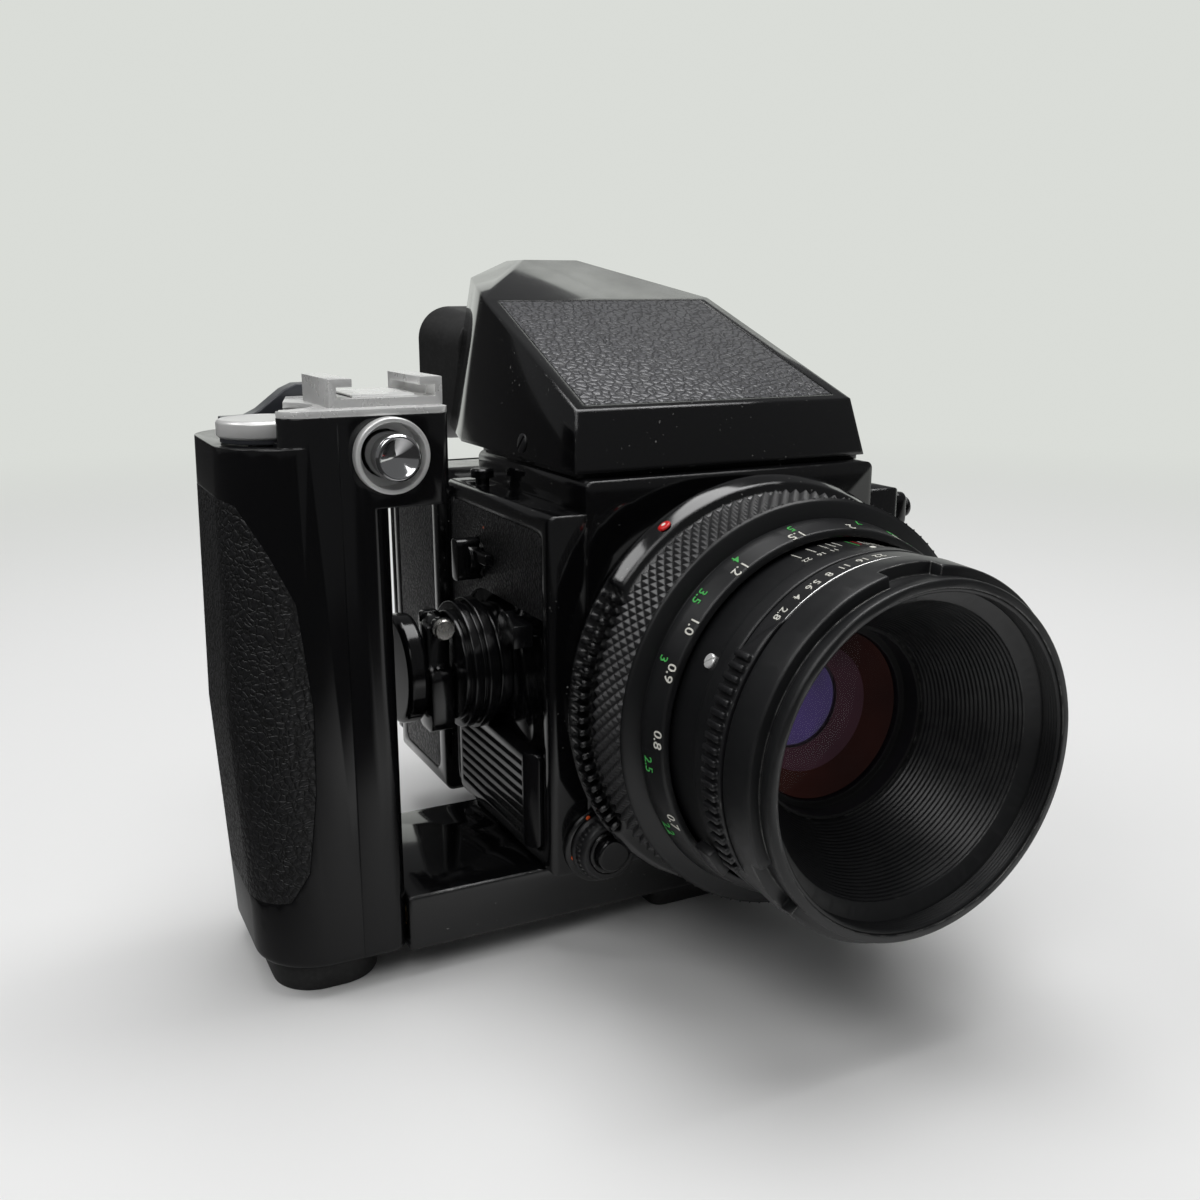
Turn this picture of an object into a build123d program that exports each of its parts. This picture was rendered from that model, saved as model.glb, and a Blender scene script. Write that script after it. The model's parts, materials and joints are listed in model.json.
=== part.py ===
from build123d import *
import math
import os

# A medium format roll film camera on a side grip, in millimetres.
# +Z is up, -Y is the way the lens looks and -X is the side of the grip.
# The origin is the mouth of the tripod socket, on the plane that the feet stand on.

# Clearances
RUN = 0.05            # radial clearance of a shaft or ring that turns or slides in its bore
FREE = 0.3            # gap between pieces that move past each other
SEAT = 0.02           # gap round a piece that is laid or pressed into its place
SKIN_PLAY = 0.1       # gap round the edge of a leather panel

# Datum planes
LENS_Z = 56.5         # height of the lens axis
FRONT_Y = -25.5       # front face of the camera body

# Camera body
BLOCK_HALF = 34.6
HOUSING_HALF = 42.8
BODY_DEPTH = 58.0
BODY_BOTTOM = 17.5
BLOCK_TOP = 99.3
HOUSING_TOP = 93.0
BODY_WALL = 3.0
COVER_WALL = 2.2
EDGE_R = 1.6
MIRROR_BOX_HALF = 29.0
THROAT_R = 27.0
GATE_W = 56.0
GATE_H = 43.0
SKIN = 0.9            # thickness of the leather
SKIN_INSET = 3.6
SKIN_CORNER = 3.0
SKIN_PROUD = 0.1

# Mirror and focusing screen
MIRROR_LENGTH = BODY_DEPTH - 14.0
MIRROR_HALF = 26.0
MIRROR_THICK = 1.6
MIRROR_PIN_R = 1.0
MIRROR_SETBACK = 2.2
MIRROR_TILT = 45.0
MIRROR_HINGE_Y = FRONT_Y + BODY_DEPTH - 7.0
MIRROR_HINGE_Z = LENS_Z + 26.0
SCREEN_HALF = 28.0
SCREEN_MARGIN = 5.0
SCREEN_LEDGE = 1.5
SCREEN_THICK = 1.8
SCREEN_Z = 93.3

# Battery and its ribbed cover
BATTERY_R = 6.5
BATTERY_LENGTH = 25.0
BATTERY_X = -(HOUSING_HALF - COVER_WALL - BATTERY_R - 0.1)
BATTERY_Y = -15.0
BATTERY_Z = 27.3
CHEST_Y0 = -19.4
CHEST_Y1 = 22.0
CHEST_Z0 = 21.4
CHEST_Z1 = 42.3
CHEST_OUT = 2.2
CHEST_BEVEL = 3.0
CHEST_RIBS = 8
RIB_DEPTH = 0.8

# Body release, strap lug, buttons and sync socket
BUTTON_TRAVEL = 1.8
BUTTON_R = 3.6
BUTTON_GUIDE_R = 4.6
BODY_RELEASE_X = -31.8
BODY_RELEASE_Z = 23.2
BODY_RELEASE_R = 8.2
RELEASE_PLATE = 0.8
RELEASE_COLLAR_OUT = 5.0
RELEASE_GUIDE_OUT = 5.2
RELEASE_FLUTES = 24
FLUTE_R = 0.4
STRAP_OUT = 3.6
STRAP_Y0 = -24.0
STRAP_Y1 = -15.5
STRAP_Z0 = 83.5
STRAP_Z1 = 91.4
TOP_BUTTON_X = 4.2 - HOUSING_HALF
TOP_BUTTON_Y = 20.0
TOP_BUTTON_R = 2.6
TOP_BUTTON_STEM_R = 1.6
SYNC_Y = -16.5
SYNC_Z = 34.0
SYNC_R = 3.0
SYNC_COLLAR_R = 4.4
SYNC_BORE_R = 1.8

# Winding crank
SHAFT_R = 2.5
CRANK_Y = 8.5
CRANK_Z = 55.7
CRANK_R = 14.5
CRANK_BEZEL_R = 12.9
BEZEL_THICK = 3.1
HUB_X = -HOUSING_HALF + SKIN - BEZEL_THICK - FREE
HUB_FACE_X = HUB_X - 7.0
HANDLE_THICK = 5.0
ARM_HALF = 2.8
EAR_THICK = 2.4
CRANK_EYE_R = 1.9
CRANK_PIN_R = 1.1
CRANK_HEAD_R = 2.3
CRANK_PIN_X = HUB_FACE_X - FREE - CRANK_HEAD_R
CRANK_PIN_Z = 65.5
HANDLE_LOW_Z = 41.7
HANDLE_PAD_HALF = 5.0
CRANK_KNOB_R = 12.2
KNOB_Y = 14.0
KNOB_Z = 54.7
KNOB_PIN_R = 1.6
KNOB_THICK = 4.6
KNOB_NEAR_X = HUB_FACE_X - FREE - HANDLE_THICK - 0.5 - FREE
KNOB_FAR_X = KNOB_NEAR_X - KNOB_THICK

# Levers and dials
STEM_R = 2.0
LEVER_Y = 13.0
LEVER_Z = 78.0
LEVER_KNOB_R = 3.6
LEVER_REACH = 10.0
LEVER_OUT = 5.4
PADDLE_Y = -7.6
PADDLE_Z = 67.0
PADDLE_R = 3.6
PADDLE_REACH = 10.5
PADDLE_OUT = 4.6
SPEED_Y = 2.0
SPEED_Z = 78.0
DIAL_R = 11.5
DIAL_THICK = 4.8
DIAL_FLUTES = 36

# Finder
FINDER_BASE_Z = 100.3
FINDER_SETBACK = 3.8
FINDER_HALF = 35.2
FINDER_LEAN = 8.2     # inward lean of the side faces, degrees
PLATE_TOP_Z = 112.4
PLATE_SETBACK = 3.4
RIDGE_Y = FRONT_Y + BODY_DEPTH + 4.9
RIDGE_Z = 133.6
ROOF_Y = RIDGE_Y + 29.6
ROOF_Z = 143.3
ROOF_HALF = 7.5
FINDER_BACK_Y = ROOF_Y + 12.0
FINDER_BACK_HALF = 25.0
CHEEK_LEAN = 5.0
FINDER_WALL = 2.4
LEATHER_MARGIN = 5.0
LEATHER_LOW = 2.4
LEATHER_HIGH = 1.4
PRISM_HALF = 28.5
PRISM_FRONT = 12.0
PRISM_DEPTH = BODY_DEPTH - 6.0
EYE_Z = 113.0
EYE_R = 10.0
EYE_GLASS_R = 34.0
EYE_FRAME_HALF_W = 19.0
EYE_FRAME_HALF_H = 13.5
EYE_FRAME_OUT = 9.0
EYE_FRAME_CORNER = 6.0
EYECUP_HALF_W = 26.5
EYECUP_HALF_H = 18.5
EYECUP_DEPTH = 19.4
EYECUP_CORNER = 9.0
EYECUP_WALL = 2.2

# Film back
BACK_HALF = HOUSING_HALF + 2.2
BACK_FRONT_Y = FRONT_Y + BODY_DEPTH + FREE
BACK_DEPTH = 39.0
BACK_BOTTOM = 15.8
BACK_TOP = 92.4
BACK_WALL = 2.4
BACK_SKIN_INSET = 4.0
DOOR_THICK = 4.5
KNUCKLE_R = 1.9
KNUCKLE_HALF = 24.0
LUG_WIDTH = 5.0
HINGE_PIN_R = 1.1
DOOR_HINGE_Y = BACK_FRONT_Y + BACK_DEPTH - 2.2
DOOR_HINGE_Z = BACK_BOTTOM + 2.4
LATCH_HALF = 11.0
INSERT_THICK = 1.6
CHEEK_DEPTH = 29.0
SPOOL_LENGTH = 65.0
SPOOL_R = 12.4
SPOOL_CORE_R = 7.6
SPOOL_STUD_R = 1.5
SPOOL_Y = BACK_FRONT_Y + 20.2
SPOOL_Z0 = 33.5
SPOOL_Z1 = 76.5
SLIDE_THICK = 0.6
SLIDE_Y = 0.6
SLIDE_MARGIN = 3.0
ISO_Y = BACK_FRONT_Y + 18.7
ISO_Z = 60.0
ISO_DIAL_R = 8.5

# Lens, as distances in front of the body's front face and radii
BARREL_NOSE_R = 32.6
BARREL_R = BARREL_NOSE_R + 2.0
BOSS_R = 38.4
BOSS_OUT = 8.9
TUBE_R = 26.6
REAR_RING_OUT = 9.2
REAR_RING_R = 43.5
REAR_RING_FRONT_R = 42.2
REAR_RING_LENGTH = 4.8
REAR_RING_WEB_OUT = REAR_RING_OUT + 2.6
LUG_COUNT = 16
LUG_PITCH = 4.3       # degrees
GRIP_OUT = 15.5
GRIP_LENGTH = 11.0
GRIP_R = 41.2
GRIP_THICK = 2.2
SCALE_OUT = 27.9
SCALE_LENGTH = 5.8
SCALE_BACK_R = 37.4
SCALE_FRONT_R = 36.3
HELICOID_R = 37.0
SLEEVE_END = 25.4
FOCUS_BACK_TRAVEL = 2.9
INNER_R = BARREL_R - 0.2
INNER_WALL = 2.2
NECK_DROP = 2.4
WEB_OUT = 38.0
CELL_R = BARREL_NOSE_R - 3.0
CELL_TAIL_R = 20.9
CELL_BACK_OUT = 16.0
SHUTTER_OUT = 22.0
APERTURE_OUT = 45.7
APERTURE_GAP = 0.3
APERTURE_LENGTH = 5.1
APERTURE_R = BARREL_R
APERTURE_GRIP_R = APERTURE_R + 1.2
APERTURE_TOOTH_PITCH = 3.4
APERTURE_TOOTH_COUNT = 20
APERTURE_TOOTH_WIDTH = 1.1
APERTURE_GRIPS = (178.0, 2.0)    # middle of each toothed grip, degrees from +X towards +Z
BARREL_OUT = APERTURE_OUT + APERTURE_LENGTH + APERTURE_GAP
BARREL_LENGTH = 11.0
BARREL_FRONT_R = BARREL_R - 0.3
NOSE_LENGTH = 3.5
NOSE_GROOVE = 1.0
HOOD_SLOTS = (94, 214, 334)    # degrees from +X towards +Z
HOOD_SLOT_SPAN = 19
HOOD_SLOT_DEPTH = 2.8
FILTER_R = BARREL_NOSE_R - 1.6
FILTER_DEPTH = 4.5
BEVEL_DEPTH = 1.6
NAME_RING_R = FILTER_R - 3.5
BAFFLE_BACK_R = 19.0
BAFFLE_BACK_OUT = 37.6
BAFFLE_RIBS = 24
GLASS_R = 18.4
GLASS_SEAT = 4.0
FRONT_CURVE = 46.0
REAR_GLASS_R = 16.0
REAR_CURVE = 28.0
SWITCH_ANGLE = 215.0  # degrees from +X towards +Z
SWITCH_OUT = 39.8
SWITCH_LENGTH = 5.0
SWITCH_SPAN = 9.0     # degrees
SWITCH_THICK = 2.0

# Grip
GRIP_FRONT_Y = -20.8
GRIP_DEPTH = 45.0
GRIP_OUTER_X = -102.5
GRIP_INNER_X = -72.0
GRIP_SEAM_X = -81.5
GRIP_BOTTOM = 6.0
GRIP_SHOULDER = 108.2
GRIP_TAPER = 2.2
GRIP_BELLY_Z = 55.0   # the handle is widest here
GRIP_TOP_TAPER = 1.0
GRIP_FOOT_R = 2.0
GRIP_CORNER = 13.0
GRIP_INNER_CORNER = 3.5
GRIP_WALL = 2.5
SKIN_EDGE_X = -88.8
SKIN_TOP_Z = 98.0
SKIN_BOTTOM_Z = 20.0
HEAD_LEFT_X = -91.9
HEAD_RIGHT_X = -60.4
HEAD_BOTTOM = 96.5
HEAD_TOP = 113.5
HEAD_DEPTH = 36.0
HEAD_CORNER = 5.0
HEAD_RIGHT_CORNER = 2.0
TOP_PLATE = 1.2
ARM_TOP = BODY_BOTTOM
ARM_Y0 = GRIP_FRONT_Y
ARM_Y1 = GRIP_FRONT_Y + 41.6
ARM_WALL = 2.4
ARM_END_X = 22.0
FOOT_HALF_X = 14.0
SOCKET_R = 3.175
SOCKET_DEPTH = 5.6
BUSH_R = 5.0
SCREW_Y = 13.6
SCREW_R = 3.0
SCREW_HEAD_R = 6.2
SCREW_HEAD_LOW = 1.2
SCREW_HEAD_TOP = 9.0
SCREW_REACH = 2.6

# Wind lever and its gear train
WHEEL_X = -91.5
WHEEL_Y = -6.0
WHEEL_R = 8.6
WHEEL_LOW = 109.0
WHEEL_TOP = 112.7
LEVER_CLEAR = 0.6
LEVER_WIDTH = 6.0
LEVER_ARM_WIDTH = 2.7
LEVER_THICK = 2.2
LEVER_TIP_X = -75.0
LEVER_PAD = 15.5
LEVER_PAD_LOW = 112.0
LEVER_PAD_TOP = 117.2
LEVER_PAD_RISE = 10.5
GEAR_MODULE = 1.0
GEAR_THICK = 4.0
GEAR_Z = 10.4
GEAR_1_TEETH = 11
GEAR_2_TEETH = 34
GEAR_3_TEETH = 30
GEAR_STUD_R = 2.5
DOG_R = 2.4
GEAR_1_R = GEAR_MODULE * GEAR_1_TEETH / 2
GEAR_2_R = GEAR_MODULE * GEAR_2_TEETH / 2
GEAR_3_R = GEAR_MODULE * GEAR_3_TEETH / 2
GEAR_2_X = WHEEL_X + math.sqrt((GEAR_1_R + GEAR_2_R) ** 2 - WHEEL_Y ** 2)
GEAR_3_X = GEAR_2_X + GEAR_2_R + GEAR_3_R
GEAR_1_PHASE = math.degrees(math.atan2(-WHEEL_Y, GEAR_2_X - WHEEL_X))
GEAR_2_PHASE = 180 + GEAR_1_PHASE + 180 / GEAR_2_TEETH
GEAR_3_PHASE = 180 - (GEAR_2_PHASE % (360 / GEAR_2_TEETH)) * GEAR_2_TEETH / GEAR_3_TEETH + 180 / GEAR_3_TEETH

# Grip release and accessory shoe
RELEASE_X = -72.2
RELEASE_Z = 106.3
RELEASE_R = 7.0
RELEASE_RING_OUT = 2.6
RELEASE_RING_WALL = 1.3
RELEASE_FLOOR_OUT = 0.4
GRIP_BUTTON_OUT = 6.0
COLLAR_NECK_R = 6.4
COLLAR_LENGTH = 8.0
GRIP_BUTTON_R = 4.4
DISH_R = 9.2
SHOE_X = -71.0
SHOE_FRONT_Y = -16.5
SHOE_WIDTH = 21.6
SHOE_LENGTH = 20.0
SHOE_SLOT_W = 18.7
SHOE_SLOT_H = 2.1
SHOE_MOUTH_W = 12.8
SHOE_BASE = 1.6
SHOE_LIP = 1.5


def block(x0, x1, y0, y1, z0, z1):
    """A box between two corners."""
    centre = Pos((x0 + x1) / 2, (y0 + y1) / 2, (z0 + z1) / 2)
    return centre * Box(abs(x1 - x0), abs(y1 - y0), abs(z1 - z0))


def rod_x(radius, x0, x1, y, z):
    """A cylinder along X."""
    return Pos((x0 + x1) / 2, y, z) * Rot(0, 90, 0) * Cylinder(radius, abs(x1 - x0))


def rod_y(radius, y0, y1, x, z):
    """A cylinder along Y."""
    return Pos(x, (y0 + y1) / 2, z) * Rot(90, 0, 0) * Cylinder(radius, abs(y1 - y0))


def rod_z(radius, z0, z1, x, y):
    """A cylinder along Z."""
    return Pos(x, y, (z0 + z1) / 2) * Cylinder(radius, abs(z1 - z0))


def ahead(out):
    """The Y of a plane that lies so far in front of the body's front face."""
    return FRONT_Y - out


def lens_rod(radius, out0, out1):
    """A cylinder on the lens axis, between two distances in front of the body."""
    return rod_y(radius, ahead(out0), ahead(out1), 0, LENS_Z)


def lens_ring(outer, inner, out0, out1):
    """A plain ring on the lens axis."""
    return lens_rod(outer, out0, out1) - lens_rod(inner, out0 - 1, out1 + 1)


def lens_turned(points):
    """A body of revolution on the lens axis, from (radius, distance in front) points."""
    face = make_face(Polyline(*[(r, ahead(out)) for r, out in points], close=True))
    return Pos(0, 0, LENS_Z) * revolve(face, Axis.Y)


def beyond(point, normal, size=400):
    """A large box that fills the space past a plane."""
    return Plane(origin=point, z_dir=normal) * Pos(0, 0, size / 2) * Box(size, size, size)


def soften(solid, radius, axis):
    """The solid with its edges along one axis rounded."""
    return fillet(solid.edges().filter_by(axis), radius)


def times(a, b):
    """Two vectors multiplied term by term."""
    return Vector(a.X * b.X, a.Y * b.Y, a.Z * b.Z)


def outward(normal, guide):
    """The normal, turned to point the same way as a guide."""
    return normal if normal.dot(guide) > 0 else normal * -1


def sector(centre, span):
    """A wedge of space round the lens axis."""
    reach = 60
    half = math.radians(span / 2)
    corners = [(0, 0), (reach * math.cos(half), reach * math.sin(half)), (reach * 1.3, 0),
               (reach * math.cos(half), -reach * math.sin(half))]
    wedge = extrude(Plane.XZ * make_face(Polyline(*corners, close=True)), amount=200, both=True)
    return Pos(0, 0, LENS_Z) * Rot(0, -centre, 0) * wedge


def grip_outline(inset, taper, z):
    """The handle's cross-section at one height."""
    x0 = GRIP_OUTER_X + inset + taper
    x1 = GRIP_INNER_X - inset
    y0 = GRIP_FRONT_Y + inset
    y1 = GRIP_FRONT_Y + GRIP_DEPTH - inset - taper
    shape = Rectangle(x1 - x0, y1 - y0)
    shape = fillet(shape.vertices().group_by(Axis.X)[0], GRIP_CORNER - inset)
    shape = fillet(shape.vertices().group_by(Axis.X)[-1], GRIP_INNER_CORNER)
    return Pos((x0 + x1) / 2, (y0 + y1) / 2, z) * shape


def grip_form(inset):
    """The grip's handle as one solid, a little narrower at the foot."""
    middle = grip_outline(inset, 0, GRIP_BELLY_Z)
    lower = loft([grip_outline(inset, GRIP_TAPER, GRIP_BOTTOM + inset), middle])
    lower = fillet(lower.faces().sort_by(Axis.Z)[0].edges(), GRIP_FOOT_R)
    upper = loft([middle, grip_outline(inset, GRIP_TOP_TAPER, GRIP_SHOULDER - inset)])
    return lower + upper


def head_form(inset):
    """The block on top of the grip that carries the shoe and the release."""
    y1 = GRIP_FRONT_Y + HEAD_DEPTH
    solid = block(HEAD_LEFT_X + inset, HEAD_RIGHT_X - inset, GRIP_FRONT_Y + inset, y1 - inset,
                  HEAD_BOTTOM + inset, HEAD_TOP - inset)
    solid = fillet(solid.edges().filter_by(Axis.Z).sort_by(Axis.X)[0:2], HEAD_CORNER - inset)
    return fillet(solid.edges().filter_by(Axis.Z).sort_by(Axis.X)[-2:], HEAD_RIGHT_CORNER)


def wheel_room(gap):
    """The space round the wind wheel that the head is cut back for."""
    return rod_z(WHEEL_R + gap, GRIP_SHOULDER - (gap - FREE), HEAD_TOP + 5, WHEEL_X, WHEEL_Y)


def body_casting():
    """The main casting: a mirror box with the lens throat, film gate and screen seat."""
    back = FRONT_Y + BODY_DEPTH
    solid = block(-BLOCK_HALF, BLOCK_HALF, FRONT_Y, back, BODY_BOTTOM, BLOCK_TOP)
    solid = soften(solid, EDGE_R, Axis.Y)
    room = block(-MIRROR_BOX_HALF, MIRROR_BOX_HALF, FRONT_Y + BODY_WALL, back - BODY_WALL,
                 BODY_BOTTOM + BODY_WALL, SCREEN_Z - SCREEN_LEDGE)
    light = block(-SCREEN_HALF + SCREEN_LEDGE, SCREEN_HALF - SCREEN_LEDGE,
                  FRONT_Y + SCREEN_MARGIN + SCREEN_LEDGE, back - SCREEN_MARGIN - SCREEN_LEDGE,
                  SCREEN_Z - 2 * SCREEN_LEDGE, BLOCK_TOP + 1)
    seat = block(-SCREEN_HALF, SCREEN_HALF, FRONT_Y + SCREEN_MARGIN, back - SCREEN_MARGIN,
                 SCREEN_Z, BLOCK_TOP + 1)
    gate = block(-GATE_W / 2, GATE_W / 2, back - 2 * BODY_WALL, back + 1,
                 LENS_Z - GATE_H / 2, LENS_Z + GATE_H / 2)
    throat = lens_rod(THROAT_R, 1, -BODY_WALL - 1)
    trunnions = rod_x(MIRROR_PIN_R + RUN, -BLOCK_HALF - 1, BLOCK_HALF + 1, MIRROR_HINGE_Y, MIRROR_HINGE_Z)
    cell = rod_y(BATTERY_R + 0.2, BATTERY_Y - 0.3, BATTERY_Y + BATTERY_LENGTH + 0.3, BATTERY_X, BATTERY_Z)
    thread = rod_z(SCREW_R + RUN, BODY_BOTTOM - 1, BODY_BOTTOM + BODY_WALL + 1, 0, SCREW_Y)
    return solid - room - light - seat - gate - throat - trunnions - cell - thread


def side_cover(side):
    """A hollow side housing, closed outside and open to the casting."""
    inner = side * BLOCK_HALF
    outer = side * HOUSING_HALF
    back = FRONT_Y + BODY_DEPTH
    solid = block(inner, outer, FRONT_Y, back, BODY_BOTTOM, HOUSING_TOP)
    outer_edges = solid.edges().filter_by_position(Axis.X, outer - 0.1, outer + 0.1)
    solid = fillet(outer_edges, EDGE_R)
    room = block(inner - side, outer - side * COVER_WALL, FRONT_Y + COVER_WALL, back - COVER_WALL,
                 BODY_BOTTOM + COVER_WALL, HOUSING_TOP - COVER_WALL)
    recess = block(outer - side * SKIN, outer + side, FRONT_Y + SKIN_INSET, back - SKIN_INSET,
                   BODY_BOTTOM + SKIN_INSET, HOUSING_TOP - SKIN_INSET)
    recess = soften(recess, SKIN_CORNER, Axis.X)
    return solid - room - recess


def crank_side_cover():
    """The cover that carries the crank, levers and finder release."""
    solid = side_cover(-1)
    outer = -HOUSING_HALF - 1
    shaft = rod_x(SHAFT_R + RUN, outer, -BLOCK_HALF, CRANK_Y, CRANK_Z)
    lever = rod_x(STEM_R + RUN, outer, -BLOCK_HALF, LEVER_Y, LEVER_Z)
    paddle = rod_x(STEM_R + RUN, outer, -BLOCK_HALF, PADDLE_Y, PADDLE_Z)
    button = rod_z(TOP_BUTTON_STEM_R + RUN, HOUSING_TOP - 2 * COVER_WALL, HOUSING_TOP + 1,
                   TOP_BUTTON_X, TOP_BUTTON_Y)
    dog = rod_z(DOG_R + RUN, BODY_BOTTOM - 1, BODY_BOTTOM + COVER_WALL + 1, GEAR_3_X, 0)
    cell = rod_y(BATTERY_R + 0.2, BATTERY_Y - 0.3, BATTERY_Y + BATTERY_LENGTH + 0.3, BATTERY_X, BATTERY_Z)
    return solid - shaft - lever - paddle - button - dog - cell


def dial_side_cover():
    """The cover on the other side, which carries the shutter speed dial and sync socket."""
    solid = side_cover(1)
    shaft = rod_x(SHAFT_R + RUN, BLOCK_HALF, HOUSING_HALF + 1, SPEED_Y, SPEED_Z)
    socket = rod_x(SYNC_R, BLOCK_HALF, HOUSING_HALF + 1, SYNC_Y, SYNC_Z)
    return solid - shaft - socket


def side_skin(side):
    """The leather panel let into a side cover, cut away round what stands on it."""
    outer = side * HOUSING_HALF
    back = FRONT_Y + BODY_DEPTH
    skin = block(outer - side * (SKIN - SEAT), outer + side * SKIN_PROUD,
                 FRONT_Y + SKIN_INSET + SKIN_PLAY, back - SKIN_INSET - SKIN_PLAY,
                 BODY_BOTTOM + SKIN_INSET + SKIN_PLAY, HOUSING_TOP - SKIN_INSET - SKIN_PLAY)
    skin = soften(skin, SKIN_CORNER - SKIN_PLAY, Axis.X)
    if side < 0:
        bezel = rod_x(CRANK_R + 1.5, -HOUSING_HALF - 2, -BLOCK_HALF, CRANK_Y, CRANK_Z)
        lever = rod_x(LEVER_KNOB_R + 1, -HOUSING_HALF - 2, -BLOCK_HALF, LEVER_Y, LEVER_Z)
        front = block(-HOUSING_HALF - 2, -BLOCK_HALF, FRONT_Y, CRANK_Y, 0, PADDLE_Z + PADDLE_R + 1)
        low = block(-HOUSING_HALF - 2, -BLOCK_HALF, FRONT_Y, CHEST_Y1 + 0.4, 0, CHEST_Z1 + 0.4)
        skin = skin - bezel - lever - front - low
    else:
        skin -= rod_x(DIAL_R + 1.2, BLOCK_HALF, HOUSING_HALF + 2, SPEED_Y, SPEED_Z)
        skin -= rod_x(SYNC_COLLAR_R + 0.8, BLOCK_HALF, HOUSING_HALF + 2, SYNC_Y, SYNC_Z)
        skin -= block(BLOCK_HALF, HOUSING_HALF + 2, FRONT_Y, STRAP_Y1 + 0.3, STRAP_Z0 - 0.3, HOUSING_TOP)
    return skin.solids().sort_by(SortBy.VOLUME)[-1]


def body_leather():
    """Both side panels of leather."""
    return [side_skin(-1), side_skin(1)]


def ribbed_chest():
    """The raised ribbed cover low on the crank side, over the battery."""
    outer = -HOUSING_HALF - CHEST_OUT
    solid = block(outer, -HOUSING_HALF + SKIN - SEAT, CHEST_Y0, CHEST_Y1, CHEST_Z0, CHEST_Z1)
    solid = soften(solid, 1.2, Axis.X)
    solid -= beyond((outer, CHEST_Y0 + CHEST_BEVEL, LENS_Z), (-1, -CHEST_OUT / CHEST_BEVEL, 0))
    pitch = (CHEST_Z1 - CHEST_Z0 - 3) / CHEST_RIBS
    for i in range(CHEST_RIBS):
        z = CHEST_Z0 + 1.5 + pitch * (i + 0.5)
        solid -= block(outer - 1, outer + RIB_DEPTH, CHEST_Y0 + CHEST_BEVEL + 1, CHEST_Y1 - 1.6,
                       z - pitch * 0.22, z + pitch * 0.22)
    return solid


def battery():
    """The six volt cell, lying in its chamber behind the ribbed cover."""
    return rod_y(BATTERY_R, BATTERY_Y, BATTERY_Y + BATTERY_LENGTH, BATTERY_X, BATTERY_Z)


def lens_boss():
    """The round front boss with the bright lens seat, and the guide of the body release."""
    solid = lens_turned([(THROAT_R, 0), (BOSS_R, 0), (BOSS_R, BOSS_OUT - 1), (BOSS_R - 1, BOSS_OUT),
                         (THROAT_R, BOSS_OUT)])
    solid -= rod_y(BODY_RELEASE_R + FREE, ahead(BOSS_OUT + 1), FRONT_Y + 1, BODY_RELEASE_X, BODY_RELEASE_Z)
    plate = rod_y(BODY_RELEASE_R, ahead(RELEASE_PLATE), FRONT_Y, BODY_RELEASE_X, BODY_RELEASE_Z)
    tube = rod_y(BUTTON_GUIDE_R, ahead(RELEASE_GUIDE_OUT), FRONT_Y, BODY_RELEASE_X, BODY_RELEASE_Z)
    bore = rod_y(BUTTON_R + RUN, ahead(RELEASE_GUIDE_OUT + 1), ahead(RELEASE_PLATE),
                 BODY_RELEASE_X, BODY_RELEASE_Z)
    return [solid, plate + tube - bore]


def reflex_mirror():
    """The reflex mirror at forty-five degrees, and its holder with the two hinge stubs."""
    length = MIRROR_LENGTH
    glass = Pos(0, -length / 2 - MIRROR_SETBACK, 0) * Box(2 * MIRROR_HALF, length, MIRROR_THICK)
    full = length + MIRROR_SETBACK
    holder = Pos(0, -full / 2, -MIRROR_THICK) * Box(2 * MIRROR_HALF, full, MIRROR_THICK)
    barrel = Rot(0, 90, 0) * Cylinder(MIRROR_PIN_R + 0.9, 2 * MIRROR_HALF)
    barrel = barrel & (Pos(0, MIRROR_SETBACK, 0) * Box(4 * MIRROR_HALF, 4 * MIRROR_SETBACK - SEAT, 9))
    stubs = Rot(0, 90, 0) * Cylinder(MIRROR_PIN_R, 2 * MIRROR_BOX_HALF + 5)
    place = Pos(0, MIRROR_HINGE_Y, MIRROR_HINGE_Z) * Rot(MIRROR_TILT, 0, 0)
    return [place * glass, place * (holder + barrel + stubs)]


def focusing_screen():
    """The ground glass under the finder, on its ledge in the casting."""
    half = SCREEN_HALF - SKIN_PLAY
    back = FRONT_Y + BODY_DEPTH
    return block(-half, half, FRONT_Y + SCREEN_MARGIN + SKIN_PLAY, back - SCREEN_MARGIN - SKIN_PLAY,
                 SCREEN_Z, SCREEN_Z + SCREEN_THICK)


def strap_lug():
    """The strap lug at the top front corner of the dial side, with its bright stud."""
    x = HOUSING_HALF
    lug = block(x, x + STRAP_OUT, STRAP_Y0, STRAP_Y1, STRAP_Z0, STRAP_Z1)
    lug = soften(lug, 1.8, Axis.X)
    lug = chamfer(lug.faces().sort_by(Axis.X)[-1].edges(), 0.6)
    z = (STRAP_Z0 + STRAP_Z1) / 2
    y = (STRAP_Y0 + STRAP_Y1) / 2
    lug += rod_x(1.3, x + STRAP_OUT, x + STRAP_OUT + 1.6, y, z)
    return lug + rod_x(2.4, x + STRAP_OUT + 1.6, x + STRAP_OUT + 2.6, y, z)


def release_collar():
    """The knurled lock collar round the body's shutter release."""
    outer = BODY_RELEASE_R - 0.6
    front = ahead(RELEASE_COLLAR_OUT)
    solid = rod_y(outer, front, ahead(RELEASE_PLATE + 0.1), BODY_RELEASE_X, BODY_RELEASE_Z)
    solid = chamfer(solid.edges().filter_by(GeomType.CIRCLE).sort_by(Axis.Y)[0], 1.0)
    solid -= rod_y(BUTTON_GUIDE_R + RUN, front - 1, FRONT_Y, BODY_RELEASE_X, BODY_RELEASE_Z)
    for i in range(RELEASE_FLUTES):
        a = math.radians(360 / RELEASE_FLUTES * i)
        x = BODY_RELEASE_X + outer * math.cos(a)
        z = BODY_RELEASE_Z + outer * math.sin(a)
        solid -= rod_y(FLUTE_R, ahead(RELEASE_COLLAR_OUT - 1.2), ahead(RELEASE_PLATE + 0.7), x, z)
    return solid


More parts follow.
